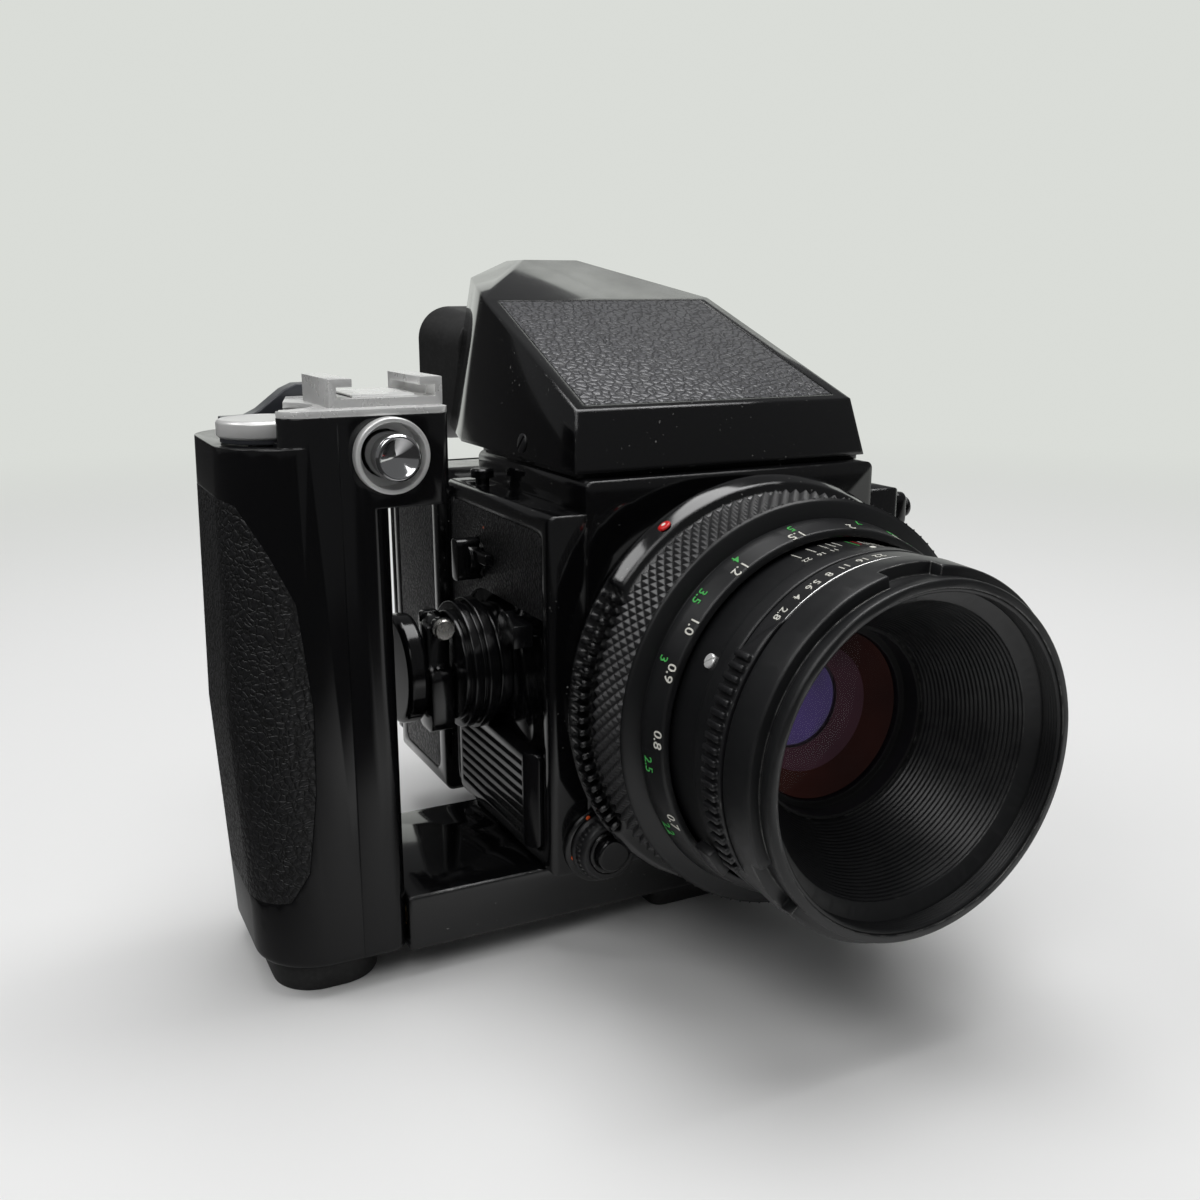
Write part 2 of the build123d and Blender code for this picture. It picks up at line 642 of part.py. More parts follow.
def release_button():
    """The body's shutter release button."""
    top = RELEASE_GUIDE_OUT + BUTTON_TRAVEL
    foot = RELEASE_PLATE + BUTTON_TRAVEL + FREE
    solid = rod_y(BUTTON_R, ahead(top), ahead(foot), BODY_RELEASE_X, BODY_RELEASE_Z)
    return fillet(solid.edges().filter_by(GeomType.CIRCLE).sort_by(Axis.Y)[0], 0.7)


def top_button():
    """The finder release on top of the crank side housing."""
    low = HOUSING_TOP + BUTTON_TRAVEL
    cap = rod_z(TOP_BUTTON_R, low, low + 2.0, TOP_BUTTON_X, TOP_BUTTON_Y)
    cap = chamfer(cap.edges().filter_by(GeomType.CIRCLE).sort_by(Axis.Z)[-1], 0.4)
    return cap + rod_z(TOP_BUTTON_STEM_R, HOUSING_TOP - COVER_WALL - 0.5, low, TOP_BUTTON_X, TOP_BUTTON_Y)


def crank_bezel():
    """The fixed bezel under the crank, let into the leather."""
    x = -HOUSING_HALF + SKIN - SEAT
    solid = rod_x(CRANK_BEZEL_R, x, x - BEZEL_THICK, CRANK_Y, CRANK_Z)
    solid = chamfer(solid.edges().filter_by(GeomType.CIRCLE).sort_by(Axis.X)[0], 0.6)
    return solid - rod_x(SHAFT_R + RUN, x + 1, x - 2 * BEZEL_THICK, CRANK_Y, CRANK_Z)


def crank_hub():
    """The turning hub: a stack of polished rings on a shaft, with two ears for the pin."""
    solid = rod_x(SHAFT_R, -BLOCK_HALF - 0.6, HUB_X, CRANK_Y, CRANK_Z)
    depth = 0
    for radius, length in ((CRANK_R, 2.6), (CRANK_R - 1.2, 0.8), (CRANK_R - 0.5, 2.2), (CRANK_R - 2.4, 1.4)):
        ring = rod_x(radius, HUB_X - depth, HUB_X - depth - length, CRANK_Y, CRANK_Z)
        solid += fillet(ring.edges().filter_by(GeomType.CIRCLE), 0.35)
        depth += length
    for side in (-1, 1):
        y = CRANK_Y + side * (ARM_HALF + FREE + EAR_THICK / 2)
        ear = block(HUB_FACE_X, CRANK_PIN_X - CRANK_EYE_R, y - EAR_THICK / 2, y + EAR_THICK / 2,
                    CRANK_PIN_Z - CRANK_EYE_R, CRANK_PIN_Z + CRANK_EYE_R)
        solid += soften(ear, 1.2, Axis.Y)
    return solid - rod_y(CRANK_PIN_R, CRANK_Y - 9, CRANK_Y + 9, CRANK_PIN_X, CRANK_PIN_Z)


def crank_pin():
    """The bright pin of the folding handle, with a turned head towards the front."""
    out = ARM_HALF + FREE + EAR_THICK
    head = rod_y(CRANK_HEAD_R, CRANK_Y - out - 1.6, CRANK_Y - out, CRANK_PIN_X, CRANK_PIN_Z)
    head = chamfer(head.edges().filter_by(GeomType.CIRCLE).sort_by(Axis.Y)[0], 0.3)
    return head + rod_y(CRANK_PIN_R - SEAT, CRANK_Y - out - 0.2, CRANK_Y + out, CRANK_PIN_X, CRANK_PIN_Z)


def crank_handle():
    """The folding handle, folded down across the hub."""
    near = HUB_FACE_X - FREE
    far = near - HANDLE_THICK
    arm = block(near, far, CRANK_Y - ARM_HALF, CRANK_Y + ARM_HALF, HANDLE_LOW_Z + 3, CRANK_PIN_Z)
    eye = rod_y(CRANK_EYE_R, CRANK_Y - ARM_HALF, CRANK_Y + ARM_HALF, CRANK_PIN_X, CRANK_PIN_Z)
    pad = block(near, far, CRANK_Y - HANDLE_PAD_HALF, CRANK_Y + HANDLE_PAD_HALF,
                HANDLE_LOW_Z, HANDLE_LOW_Z + 15)
    pad = soften(pad, 3.0, Axis.X)
    shelf = block(near, far, CRANK_Y, KNOB_Y + 3, KNOB_Z - 3, KNOB_Z + 3)
    stud = rod_x(2.6, far, far - 0.5, KNOB_Y, KNOB_Z)
    spindle = rod_x(KNOB_PIN_R, far - 0.5, KNOB_FAR_X, KNOB_Y, KNOB_Z)
    solid = arm + eye + pad + shelf + stud + spindle
    return solid - rod_y(CRANK_PIN_R + RUN, CRANK_Y - 4, CRANK_Y + 4, CRANK_PIN_X, CRANK_PIN_Z)


def crank_knob():
    """The broad finger disc that turns on the end of the folding handle."""
    solid = rod_x(CRANK_KNOB_R, KNOB_NEAR_X, KNOB_FAR_X, KNOB_Y, KNOB_Z)
    solid = fillet(solid.edges().filter_by(GeomType.CIRCLE), 1.2)
    return solid - rod_x(KNOB_PIN_R + RUN, KNOB_NEAR_X + 1, KNOB_FAR_X - 1, KNOB_Y, KNOB_Z)


def exposure_lever():
    """The multiple exposure lever: a winged knob with a short arm."""
    x = -HOUSING_HALF
    stem = rod_x(STEM_R, -BLOCK_HALF - 1.5, x - 1.6, LEVER_Y, LEVER_Z)
    knob = rod_x(LEVER_KNOB_R, x - FREE, x - 3.0, LEVER_Y, LEVER_Z)
    arm = block(x - FREE, x - 2.2, LEVER_Y - LEVER_REACH, LEVER_Y, LEVER_Z + 0.2, LEVER_Z + 2.4)
    wing = block(x - FREE, x - LEVER_OUT, LEVER_Y - 2.0, LEVER_Y + 2.0, LEVER_Z - 4.6, LEVER_Z + 4.6)
    return stem + knob + arm + soften(wing, 1.2, Axis.X)


def paddle_lever():
    """The mirror lock-up lever: a round boss with a flat wedge that points forward."""
    x = -HOUSING_HALF
    stem = rod_x(STEM_R, -BLOCK_HALF - 1.5, x - 1.6, PADDLE_Y, PADDLE_Z)
    boss = rod_x(PADDLE_R, x - FREE, x - 2.4, PADDLE_Y, PADDLE_Z)
    wedge = block(x - FREE, x - PADDLE_OUT, PADDLE_Y - PADDLE_REACH, PADDLE_Y,
                  PADDLE_Z - 1.6, PADDLE_Z + 3.0)
    wedge -= beyond((x - 1.6, PADDLE_Y, PADDLE_Z), (-1, (PADDLE_OUT - 1.6) / PADDLE_REACH, 0))
    return stem + boss + wedge


def speed_dial():
    """The shutter speed dial on the side opposite the crank."""
    x = HOUSING_HALF + FREE
    dial = rod_x(DIAL_R, x, x + DIAL_THICK, SPEED_Y, SPEED_Z)
    dial = chamfer(dial.edges().filter_by(GeomType.CIRCLE).sort_by(Axis.X)[-1], 0.8)
    for i in range(DIAL_FLUTES):
        a = math.radians(360 / DIAL_FLUTES * i)
        y = SPEED_Y + DIAL_R * math.cos(a)
        z = SPEED_Z + DIAL_R * math.sin(a)
        dial -= rod_x(FLUTE_R, x + 0.8, x + DIAL_THICK - 0.6, y, z)
    return dial + rod_x(SHAFT_R, BLOCK_HALF + 1.0, x, SPEED_Y, SPEED_Z)


def sync_socket():
    """The flash sync socket, a small threaded barrel with a centre bore."""
    x = HOUSING_HALF
    barrel = rod_x(SYNC_R - SEAT, x - COVER_WALL - 1, x + 2.4, SYNC_Y, SYNC_Z)
    collar = rod_x(SYNC_COLLAR_R, x - SKIN + SEAT, x + 0.9, SYNC_Y, SYNC_Z)
    return barrel + collar - rod_x(SYNC_BORE_R, x - COVER_WALL - 0.4, x + 3, SYNC_Y, SYNC_Z)


def finder_form(inset):
    """The finder's faceted outline, with every face moved inwards by the inset."""
    half = FINDER_HALF - inset
    front = FRONT_Y + FINDER_SETBACK
    solid = block(-half, half, front + inset, FINDER_BACK_Y - inset, FINDER_BASE_Z + inset, ROOF_Z - inset)
    lean = math.radians(FINDER_LEAN)
    face_tilt = math.atan2(PLATE_SETBACK, PLATE_TOP_Z - FINDER_BASE_Z)
    slope = finder_slope()
    brow = math.atan2(ROOF_Z - RIDGE_Z, ROOF_Y - RIDGE_Y)
    ridge_half = FINDER_HALF - math.tan(lean) * (RIDGE_Z - FINDER_BASE_Z)
    corner = Vector(ridge_half, RIDGE_Y, RIDGE_Z)
    roof_end = Vector(ROOF_HALF, ROOF_Y, ROOF_Z)
    shoulder = (roof_end - corner).cross(Vector(0, 1, 0)).normalized()
    back_low = Vector(FINDER_BACK_HALF, FINDER_BACK_Y, FINDER_BASE_Z)
    cheek_front = Vector(FINDER_HALF, RIDGE_Y + CHEEK_LEAN, FINDER_BASE_Z)
    cheek = (corner - back_low).cross(cheek_front - back_low).normalized()
    planes = [
        (Vector(0, front, FINDER_BASE_Z), Vector(0, -math.cos(face_tilt), math.sin(face_tilt))),
        (Vector(0, front + PLATE_SETBACK, PLATE_TOP_Z), Vector(0, -math.sin(slope), math.cos(slope))),
        (Vector(0, RIDGE_Y, RIDGE_Z), Vector(0, -math.sin(brow), math.cos(brow))),
    ]
    for side in (-1, 1):
        mirrored = Vector(side, 1, 1)
        planes.append((Vector(side * FINDER_HALF, 0, FINDER_BASE_Z),
                       Vector(side * math.cos(lean), 0, math.sin(lean))))
        planes.append((times(corner, mirrored), outward(times(shoulder, mirrored), Vector(side, 0, 1))))
        planes.append((times(back_low, mirrored), outward(times(cheek, mirrored), Vector(side, 1, 0))))
    for point, normal in planes:
        solid -= beyond(tuple(point - normal * inset), tuple(normal))
    return solid


def finder_slope():
    """The angle of the leather face above the horizontal."""
    front = FRONT_Y + FINDER_SETBACK + PLATE_SETBACK
    return math.atan2(RIDGE_Z - PLATE_TOP_Z, RIDGE_Y - front)


def finder_housing():
    """The finder's shell with its foot and eyepiece frame, open below, with the leather recess."""
    front = FRONT_Y + FINDER_SETBACK
    foot = block(-BLOCK_HALF + 0.8, BLOCK_HALF - 0.8, front + 0.8, FRONT_Y + BODY_DEPTH - 1,
                 BLOCK_TOP, FINDER_BASE_Z)
    frame = block(-EYE_FRAME_HALF_W, EYE_FRAME_HALF_W, FINDER_BACK_Y - 1, FINDER_BACK_Y + EYE_FRAME_OUT,
                  EYE_Z - EYE_FRAME_HALF_H, EYE_Z + EYE_FRAME_HALF_H)
    frame = soften(frame, EYE_FRAME_CORNER, Axis.Y)
    opening = block(-SCREEN_HALF + 1, SCREEN_HALF - 1, FRONT_Y + SCREEN_MARGIN + 1,
                    FRONT_Y + BODY_DEPTH - SCREEN_MARGIN - 1, BLOCK_TOP - 1, FINDER_BASE_Z + 4)
    eye = rod_y(EYE_R, FINDER_BACK_Y - 6, FINDER_BACK_Y + EYE_FRAME_OUT + 1, 0, EYE_Z)
    solid = finder_form(0) + foot + frame
    return solid - finder_form(FINDER_WALL) - opening - eye - leather_slab(SKIN, 0)


def leather_slab(depth, play):
    """The shape of the leather panel on the finder's sloped front face."""
    front = FRONT_Y + FINDER_SETBACK + PLATE_SETBACK
    slope = finder_slope()
    length = math.hypot(RIDGE_Y - front, RIDGE_Z - PLATE_TOP_Z)
    low_half = FINDER_HALF - LEATHER_MARGIN - play
    high_half = low_half - math.tan(math.radians(FINDER_LEAN)) * (RIDGE_Z - PLATE_TOP_Z)
    low = LEATHER_LOW + play
    high = length - LEATHER_HIGH - play
    outline = Polyline((-low_half, low), (low_half, low), (high_half, high), (-high_half, high), close=True)
    face = Plane((0, front, PLATE_TOP_Z), x_dir=(1, 0, 0), z_dir=(0, -math.sin(slope), math.cos(slope)))
    return extrude(face * make_face(outline), amount=-depth)


def finder_leather():
    """The leather panel let into the sloped face of the finder."""
    return leather_slab(SKIN - SEAT, SKIN_PLAY)


def prism():
    """The finder's glass prism, close inside the shell and standing on its floor frame."""
    front = FRONT_Y + PRISM_FRONT
    back = front + PRISM_DEPTH
    floor = FINDER_BASE_Z + FINDER_WALL
    glass = finder_form(FINDER_WALL + FREE) & block(-PRISM_HALF, PRISM_HALF, front, back, floor, ROOF_Z)
    return glass + block(-PRISM_HALF, PRISM_HALF, front, back, floor + SEAT, floor + 2 * FREE)


def eyepiece_lens():
    """The eyepiece's glass, a plano-convex lens in the frame's bore."""
    y = FINDER_BACK_Y + 2
    disc = rod_y(EYE_R - SEAT, y, y + 3, 0, EYE_Z)
    ball = Pos(0, y + 4.5 - EYE_GLASS_R, EYE_Z) * Sphere(EYE_GLASS_R)
    return disc + (rod_y(EYE_R - SEAT, y + 2.9, y + 6, 0, EYE_Z) & ball)


def eyecup():
    """The big rubber eyecup: a flared cup that slips over the eyepiece frame."""
    y0 = FINDER_BACK_Y + 0.6
    y1 = y0 + EYECUP_DEPTH
    w = EYE_FRAME_HALF_W
    h = EYE_FRAME_HALF_H
    middle = y0 + EYE_FRAME_OUT
    collar = block(-w - 3, w + 3, y0, middle, EYE_Z - h - 3, EYE_Z + h + 3)
    collar = soften(collar, EYE_FRAME_CORNER + 3, Axis.Y)
    flare = loft([cup_section(middle, w + 3, h + 3), cup_section(y1, EYECUP_HALF_W, EYECUP_HALF_H)])
    mouth = cup_section(y1 + 0.1, EYECUP_HALF_W - EYECUP_WALL, EYECUP_HALF_H - EYECUP_WALL)
    hollow = loft([cup_section(middle + 1.5, w, h), mouth])
    sleeve = block(-w - RUN, w + RUN, y0 - 1, middle - 0.5, EYE_Z - h - RUN, EYE_Z + h + RUN)
    sleeve = soften(sleeve, EYE_FRAME_CORNER, Axis.Y)
    sight = rod_y(EYE_R, y0, middle + 4, 0, EYE_Z)
    return collar + flare - hollow - sleeve - sight


def cup_section(y, half_w, half_h):
    """A rounded rectangle across the eyecup's axis."""
    plane = Plane((0, y, EYE_Z), x_dir=(1, 0, 0), z_dir=(0, 1, 0))
    return plane * RectangleRounded(2 * half_w, 2 * half_h, EYECUP_CORNER)


def film_back_shell():
    """The film back's housing, open behind for the door and in front at the gate."""
    y0 = BACK_FRONT_Y
    y1 = BACK_FRONT_Y + BACK_DEPTH - DOOR_THICK
    solid = block(-BACK_HALF, BACK_HALF, y0, y1, BACK_BOTTOM, BACK_TOP)
    solid = soften(solid, 2.0, Axis.Y)
    room = block(-BACK_HALF + BACK_WALL, BACK_HALF - BACK_WALL, y0 + BACK_WALL, y1 + 1,
                 BACK_BOTTOM + BACK_WALL, BACK_TOP - BACK_WALL)
    gate = block(-GATE_W / 2, GATE_W / 2, y0 - 1, y0 + 3, LENS_Z - GATE_H / 2, LENS_Z + GATE_H / 2)
    slot = block(-GATE_W / 2 - SLIDE_MARGIN, BACK_HALF + 1,
                 y0 + SLIDE_Y, y0 + SLIDE_Y + SLIDE_THICK + 2 * RUN,
                 LENS_Z - GATE_H / 2 - SLIDE_MARGIN, LENS_Z + GATE_H / 2 + SLIDE_MARGIN)
    dial = rod_x(SHAFT_R + RUN, BACK_HALF - 4, BACK_HALF + 1, ISO_Y, ISO_Z)
    solid = solid - room - gate - slot - dial
    for side in (-1, 1):
        solid -= back_side_recess(side, 0)
        solid += door_hinge_lug(side)
    return solid


def door_hinge_lug(side):
    """A lug on the shell that holds one end of the door's hinge pin."""
    y1 = BACK_FRONT_Y + BACK_DEPTH - DOOR_THICK
    x0 = side * (KNUCKLE_HALF + FREE)
    x1 = x0 + side * LUG_WIDTH
    lug = rod_x(KNUCKLE_R, x0, x1, DOOR_HINGE_Y, DOOR_HINGE_Z)
    lug += block(x0, x1, y1 - 0.5, DOOR_HINGE_Y, DOOR_HINGE_Z - KNUCKLE_R, DOOR_HINGE_Z + KNUCKLE_R)
    return lug - rod_x(HINGE_PIN_R, x0 - side, x1 + side, DOOR_HINGE_Y, DOOR_HINGE_Z)


def door_hinge_pin():
    """The pin that the back door turns on."""
    half = KNUCKLE_HALF + FREE + LUG_WIDTH
    return rod_x(HINGE_PIN_R - SEAT, -half, half, DOOR_HINGE_Y, DOOR_HINGE_Z)


def back_side_recess(side, play):
    """The recess of the leather on one side of the film back, or the leather itself."""
    x = side * BACK_HALF
    depth = SKIN - (SEAT if play else 0)
    solid = block(x - side * depth, x + side * (0 if play else 1), BACK_FRONT_Y + BACK_SKIN_INSET + play,
                  BACK_FRONT_Y + BACK_DEPTH - DOOR_THICK - BACK_SKIN_INSET - play,
                  BACK_BOTTOM + BACK_SKIN_INSET + play, BACK_TOP - BACK_SKIN_INSET - play)
    return soften(solid, SKIN_CORNER - play, Axis.X)


def back_skins():
    """The leather on both sides of the film back."""
    right = back_side_recess(1, SKIN_PLAY)
    right -= rod_x(ISO_DIAL_R + 0.6, BACK_HALF - 2, BACK_HALF + 1, ISO_Y, ISO_Z)
    return [back_side_recess(-1, SKIN_PLAY), right]


def film_insert():
    """The frame inside the back that carries both spools, with the film gate."""
    y0 = BACK_FRONT_Y + BACK_WALL
    x = BACK_HALF - BACK_WALL
    plate = block(-x, x, y0, y0 + INSERT_THICK, BACK_BOTTOM + 4, BACK_TOP - 4)
    plate -= block(-GATE_W / 2, GATE_W / 2, y0 - 1, y0 + 3, LENS_Z - GATE_H / 2, LENS_Z + GATE_H / 2)
    for side in (-1, 1):
        cheek = block(side * (x - 2), side * x, y0, y0 + CHEEK_DEPTH, BACK_BOTTOM + 4, BACK_TOP - 4)
        for z in (SPOOL_Z0, SPOOL_Z1):
            cheek -= rod_x(SPOOL_STUD_R + RUN, side * (x - 3), side * (x + 1), SPOOL_Y, z)
        if side > 0:
            cheek -= rod_x(SHAFT_R + 0.5, x - 3, x + 1, ISO_Y, ISO_Z)
        plate += cheek
    return plate


def spool(z):
    """A roll film spool with its film wound on, on two end studs."""
    flange = SPOOL_LENGTH / 2
    solid = rod_x(SPOOL_CORE_R, -flange, flange, SPOOL_Y, z)
    for side in (-1, 1):
        solid += rod_x(SPOOL_R, side * (flange - 1.2), side * flange, SPOOL_Y, z)
        solid += rod_x(SPOOL_STUD_R, side * flange, side * (BACK_HALF - BACK_WALL - 0.3), SPOOL_Y, z)
    return solid


def pressure_plate():
    """The plate that holds the film flat behind the gate."""
    y0 = BACK_FRONT_Y + BACK_WALL + INSERT_THICK
    half_w = GATE_W / 2 + SLIDE_MARGIN
    half_h = GATE_H / 2 - 1.5
    return block(-half_w, half_w, y0 + 0.2, y0 + 1.8, LENS_Z - half_h, LENS_Z + half_h)


def back_door():
    """The door at the rear of the film back, hinged along its lower edge."""
    y1 = BACK_FRONT_Y + BACK_DEPTH
    y0 = y1 - DOOR_THICK + FREE
    low = DOOR_HINGE_Z + KNUCKLE_R + 1
    solid = block(-BACK_HALF, BACK_HALF, y0, y1, low, BACK_TOP)
    solid = fillet(solid.edges().filter_by_position(Axis.Y, y1 - 0.1, y1 + 0.1), 1.6)
    latch = block(-LATCH_HALF, LATCH_HALF, y1 - 1, y1 + 1.6, BACK_TOP - 7, BACK_TOP - 2.4)
    knuckle = rod_x(KNUCKLE_R, -KNUCKLE_HALF, KNUCKLE_HALF, DOOR_HINGE_Y, DOOR_HINGE_Z)
    web = block(-KNUCKLE_HALF, KNUCKLE_HALF, DOOR_HINGE_Y - 1, DOOR_HINGE_Y + KNUCKLE_R,
                DOOR_HINGE_Z, low + 0.5)
    solid = solid + soften(latch, 1.2, Axis.Y) + knuckle + web
    end = KNUCKLE_HALF + 1
    return solid - rod_x(HINGE_PIN_R + RUN, -end, end, DOOR_HINGE_Y, DOOR_HINGE_Z)


def dark_slide():
    """The steel dark slide with its folded handle on the dial side."""
    y = BACK_FRONT_Y + SLIDE_Y + RUN
    z = GATE_H / 2 + SLIDE_MARGIN - RUN
    sheet = block(-GATE_W / 2 - SLIDE_MARGIN + 0.5, BACK_HALF + 2.6, y, y + SLIDE_THICK,
                  LENS_Z - z, LENS_Z + z)
    handle = block(BACK_HALF + 2.6, BACK_HALF + 4.4, y - 1.3, y + 5.5, LENS_Z - 16, LENS_Z + 16)
    return sheet + soften(handle, 1.5, Axis.X)


def film_speed_dial():
    """The film speed dial on the film back."""
    low = BACK_HALF + FREE
    dial = rod_x(ISO_DIAL_R, low, low + 3, ISO_Y, ISO_Z)
    dial = chamfer(dial.edges().filter_by(GeomType.CIRCLE).sort_by(Axis.X)[-1], 0.6)
    return dial + rod_x(SHAFT_R, BACK_HALF - BACK_WALL, low, ISO_Y, ISO_Z)


def rear_ring():
    """The lens's fixed rear ring with its grip lugs, focus sleeve and bayonet tube."""
    end = REAR_RING_OUT + REAR_RING_LENGTH
    solid = lens_turned([
        (TUBE_R - 3, -2.5), (TUBE_R, -2.5), (TUBE_R, REAR_RING_OUT), (REAR_RING_R - 0.6, REAR_RING_OUT),
        (REAR_RING_R, REAR_RING_OUT + 0.6), (REAR_RING_FRONT_R, end), (GRIP_R - 0.9, end + 0.4),
        (GRIP_R - 0.9, GRIP_OUT - FREE), (HELICOID_R, GRIP_OUT - FREE), (HELICOID_R, SLEEVE_END),
        (INNER_R + FREE, SLEEVE_END), (INNER_R + FREE, REAR_RING_WEB_OUT), (TUBE_R - 3, REAR_RING_WEB_OUT)])
    lug_length = GRIP_OUT - FREE - REAR_RING_OUT - 1.2
    for centre in (180, 0):
        for i in range(LUG_COUNT):
            angle = centre + (i - (LUG_COUNT - 1) / 2) * LUG_PITCH
            lug = Pos(REAR_RING_FRONT_R - 0.6, ahead(REAR_RING_OUT + 0.8 + lug_length / 2), 0)
            solid += Pos(0, 0, LENS_Z) * Rot(0, angle, 0) * lug * Box(2.6, lug_length, 1.5)
    return solid


def focus_ring():
    """The focusing ring: a wide metal ring with a bevel and the distance scale."""
    end = SCALE_OUT + SCALE_LENGTH
    under = SLEEVE_END + FREE
    return lens_turned([
        (HELICOID_R + RUN, GRIP_OUT), (GRIP_R - GRIP_THICK, GRIP_OUT),
        (GRIP_R - GRIP_THICK, GRIP_OUT + GRIP_LENGTH), (GRIP_R - 0.2, GRIP_OUT + GRIP_LENGTH),
        (SCALE_BACK_R + 0.5, SCALE_OUT - 0.5), (SCALE_BACK_R - 0.4, SCALE_OUT - 0.5),
        (SCALE_BACK_R - 0.4, SCALE_OUT), (SCALE_BACK_R, SCALE_OUT), (SCALE_FRONT_R, end - 0.3),
        (SCALE_FRONT_R - 0.3, end),
        (INNER_R + FREE, end), (INNER_R + FREE, under), (HELICOID_R + RUN, under)])


def focus_grip():
    """The rubber grip round the focusing ring."""
    return lens_ring(GRIP_R, GRIP_R - GRIP_THICK, GRIP_OUT, GRIP_OUT + GRIP_LENGTH)


def inner_barrel():
    """The barrel that travels with focusing and carries the depth of field scale."""
    back = REAR_RING_WEB_OUT + FOCUS_BACK_TRAVEL + FREE
    front = APERTURE_OUT - APERTURE_GAP
    neck = INNER_R - NECK_DROP
    cell = CELL_R + RUN
    return lens_turned([
        (INNER_R - INNER_WALL, back), (INNER_R, back), (INNER_R, front), (neck, front),
        (neck, BARREL_OUT - SEAT), (cell, BARREL_OUT - SEAT), (cell, WEB_OUT),
        (INNER_R - INNER_WALL, WEB_OUT)])


def aperture_ring():
    """The aperture ring, with two toothed finger grips that stand proud of the scale."""
    end = APERTURE_OUT + APERTURE_LENGTH
    solid = lens_ring(APERTURE_R, INNER_R - NECK_DROP + RUN, APERTURE_OUT, end)
    pad = lens_ring(APERTURE_GRIP_R - 0.9, APERTURE_R - 0.2, APERTURE_OUT + 0.3, end - 0.2)
    for centre in APERTURE_GRIPS:
        solid += pad & sector(centre, APERTURE_TOOTH_PITCH * APERTURE_TOOTH_COUNT)
        for i in range(APERTURE_TOOTH_COUNT):
            angle = centre + (i - (APERTURE_TOOTH_COUNT - 1) / 2) * APERTURE_TOOTH_PITCH
            tooth = Box(2.0, APERTURE_LENGTH - 0.8, APERTURE_TOOTH_WIDTH)
            tooth = Pos(APERTURE_GRIP_R - 1, ahead(APERTURE_OUT + APERTURE_LENGTH / 2), 0) * tooth
            solid += Pos(0, 0, LENS_Z) * Rot(0, -angle, 0) * tooth
    return solid


def front_barrel():
    """The front barrel: hood bayonet outside, filter thread, bevelled ring and ribbed baffle inside."""
    out = BARREL_OUT
    end = out + BARREL_LENGTH
    bevel = end - FILTER_DEPTH
    mouth = bevel - BEVEL_DEPTH
    nose = end - NOSE_LENGTH
    points = [
        (CELL_R, out), (BARREL_R - 0.3, out), (BARREL_R, out + 0.4), (BARREL_FRONT_R, nose - 0.3),
        (BARREL_FRONT_R - 0.3, nose), (BARREL_NOSE_R - 0.5, nose), (BARREL_NOSE_R - 0.5, nose + NOSE_GROOVE),
        (BARREL_NOSE_R, nose + NOSE_GROOVE), (BARREL_NOSE_R, end - 0.3), (BARREL_NOSE_R - 0.3, end),
        (FILTER_R, end), (FILTER_R, bevel),
        (NAME_RING_R, mouth)]
    run = (NAME_RING_R - BAFFLE_BACK_R) / BAFFLE_RIBS
    fall = (mouth - BAFFLE_BACK_OUT) / BAFFLE_RIBS
    for i in range(BAFFLE_RIBS):
        points.append((NAME_RING_R - run * i, mouth - fall * (i + 0.65)))
        points.append((NAME_RING_R - run * (i + 1), mouth - fall * (i + 1)))
    points.append((BAFFLE_BACK_R + 1.6, BAFFLE_BACK_OUT))
    points.append((CELL_R, out - 1.5))
    solid = lens_turned(points)
    for angle in HOOD_SLOTS:
        slot = lens_rod(BARREL_R + 1, nose - HOOD_SLOT_DEPTH, nose + 0.1)
        slot -= lens_rod(BARREL_NOSE_R - 0.5, nose - HOOD_SLOT_DEPTH - 1, nose + 1)
        solid -= slot & sector(angle, HOOD_SLOT_SPAN)
    return solid


def lens_cell():
    """The cell that holds the glasses and the shutter, behind the baffle."""
    front = BAFFLE_BACK_OUT - SEAT
    web = CELL_R
    return lens_turned([
        (GLASS_R, front - GLASS_SEAT), (GLASS_R, front), (BAFFLE_BACK_R + 1.6, front), (web, WEB_OUT + 3.4),
        (web, WEB_OUT + 0.2), (CELL_TAIL_R, WEB_OUT - 4), (CELL_TAIL_R, CELL_BACK_OUT),
        (REAR_GLASS_R, CELL_BACK_OUT), (REAR_GLASS_R, SHUTTER_OUT), (REAR_GLASS_R + 1, SHUTTER_OUT),
        (REAR_GLASS_R + 1, front - GLASS_SEAT)])


def glasses():
    """The front group, convex to the front, and the rear group, convex to the back."""
    face = BAFFLE_BACK_OUT - 0.8
    front = lens_rod(GLASS_R - SEAT, BAFFLE_BACK_OUT - GLASS_SEAT, face)
    front = front & (Pos(0, ahead(face) + FRONT_CURVE, LENS_Z) * Sphere(FRONT_CURVE))
    rear = lens_rod(REAR_GLASS_R - SEAT, CELL_BACK_OUT, CELL_BACK_OUT + 6)
    rear = rear & (Pos(0, ahead(CELL_BACK_OUT + REAR_CURVE), LENS_Z) * Sphere(REAR_CURVE))
    return [front, rear]


def leaf_shutter():
    """The leaf shutter's plate and its five iris blades, nearly open."""
    bore = REAR_GLASS_R + 1
    group = [lens_ring(bore - SEAT, 9.0, SHUTTER_OUT, SHUTTER_OUT + 1.5)]
    for i in range(5):
        blade = lens_ring(bore - 0.6, 11.5, SHUTTER_OUT + 1.52, SHUTTER_OUT + 1.8)
        group.append(blade & sector(72 * i, 68))
    return group


def depth_switch():
    """The small depth of field preview switch on the lower left of the inner barrel."""
    back = SWITCH_OUT - SWITCH_LENGTH / 2
    ring = lens_ring(INNER_R + SWITCH_THICK, INNER_R + RUN, back, back + SWITCH_LENGTH)
    return ring & sector(SWITCH_ANGLE, SWITCH_SPAN)


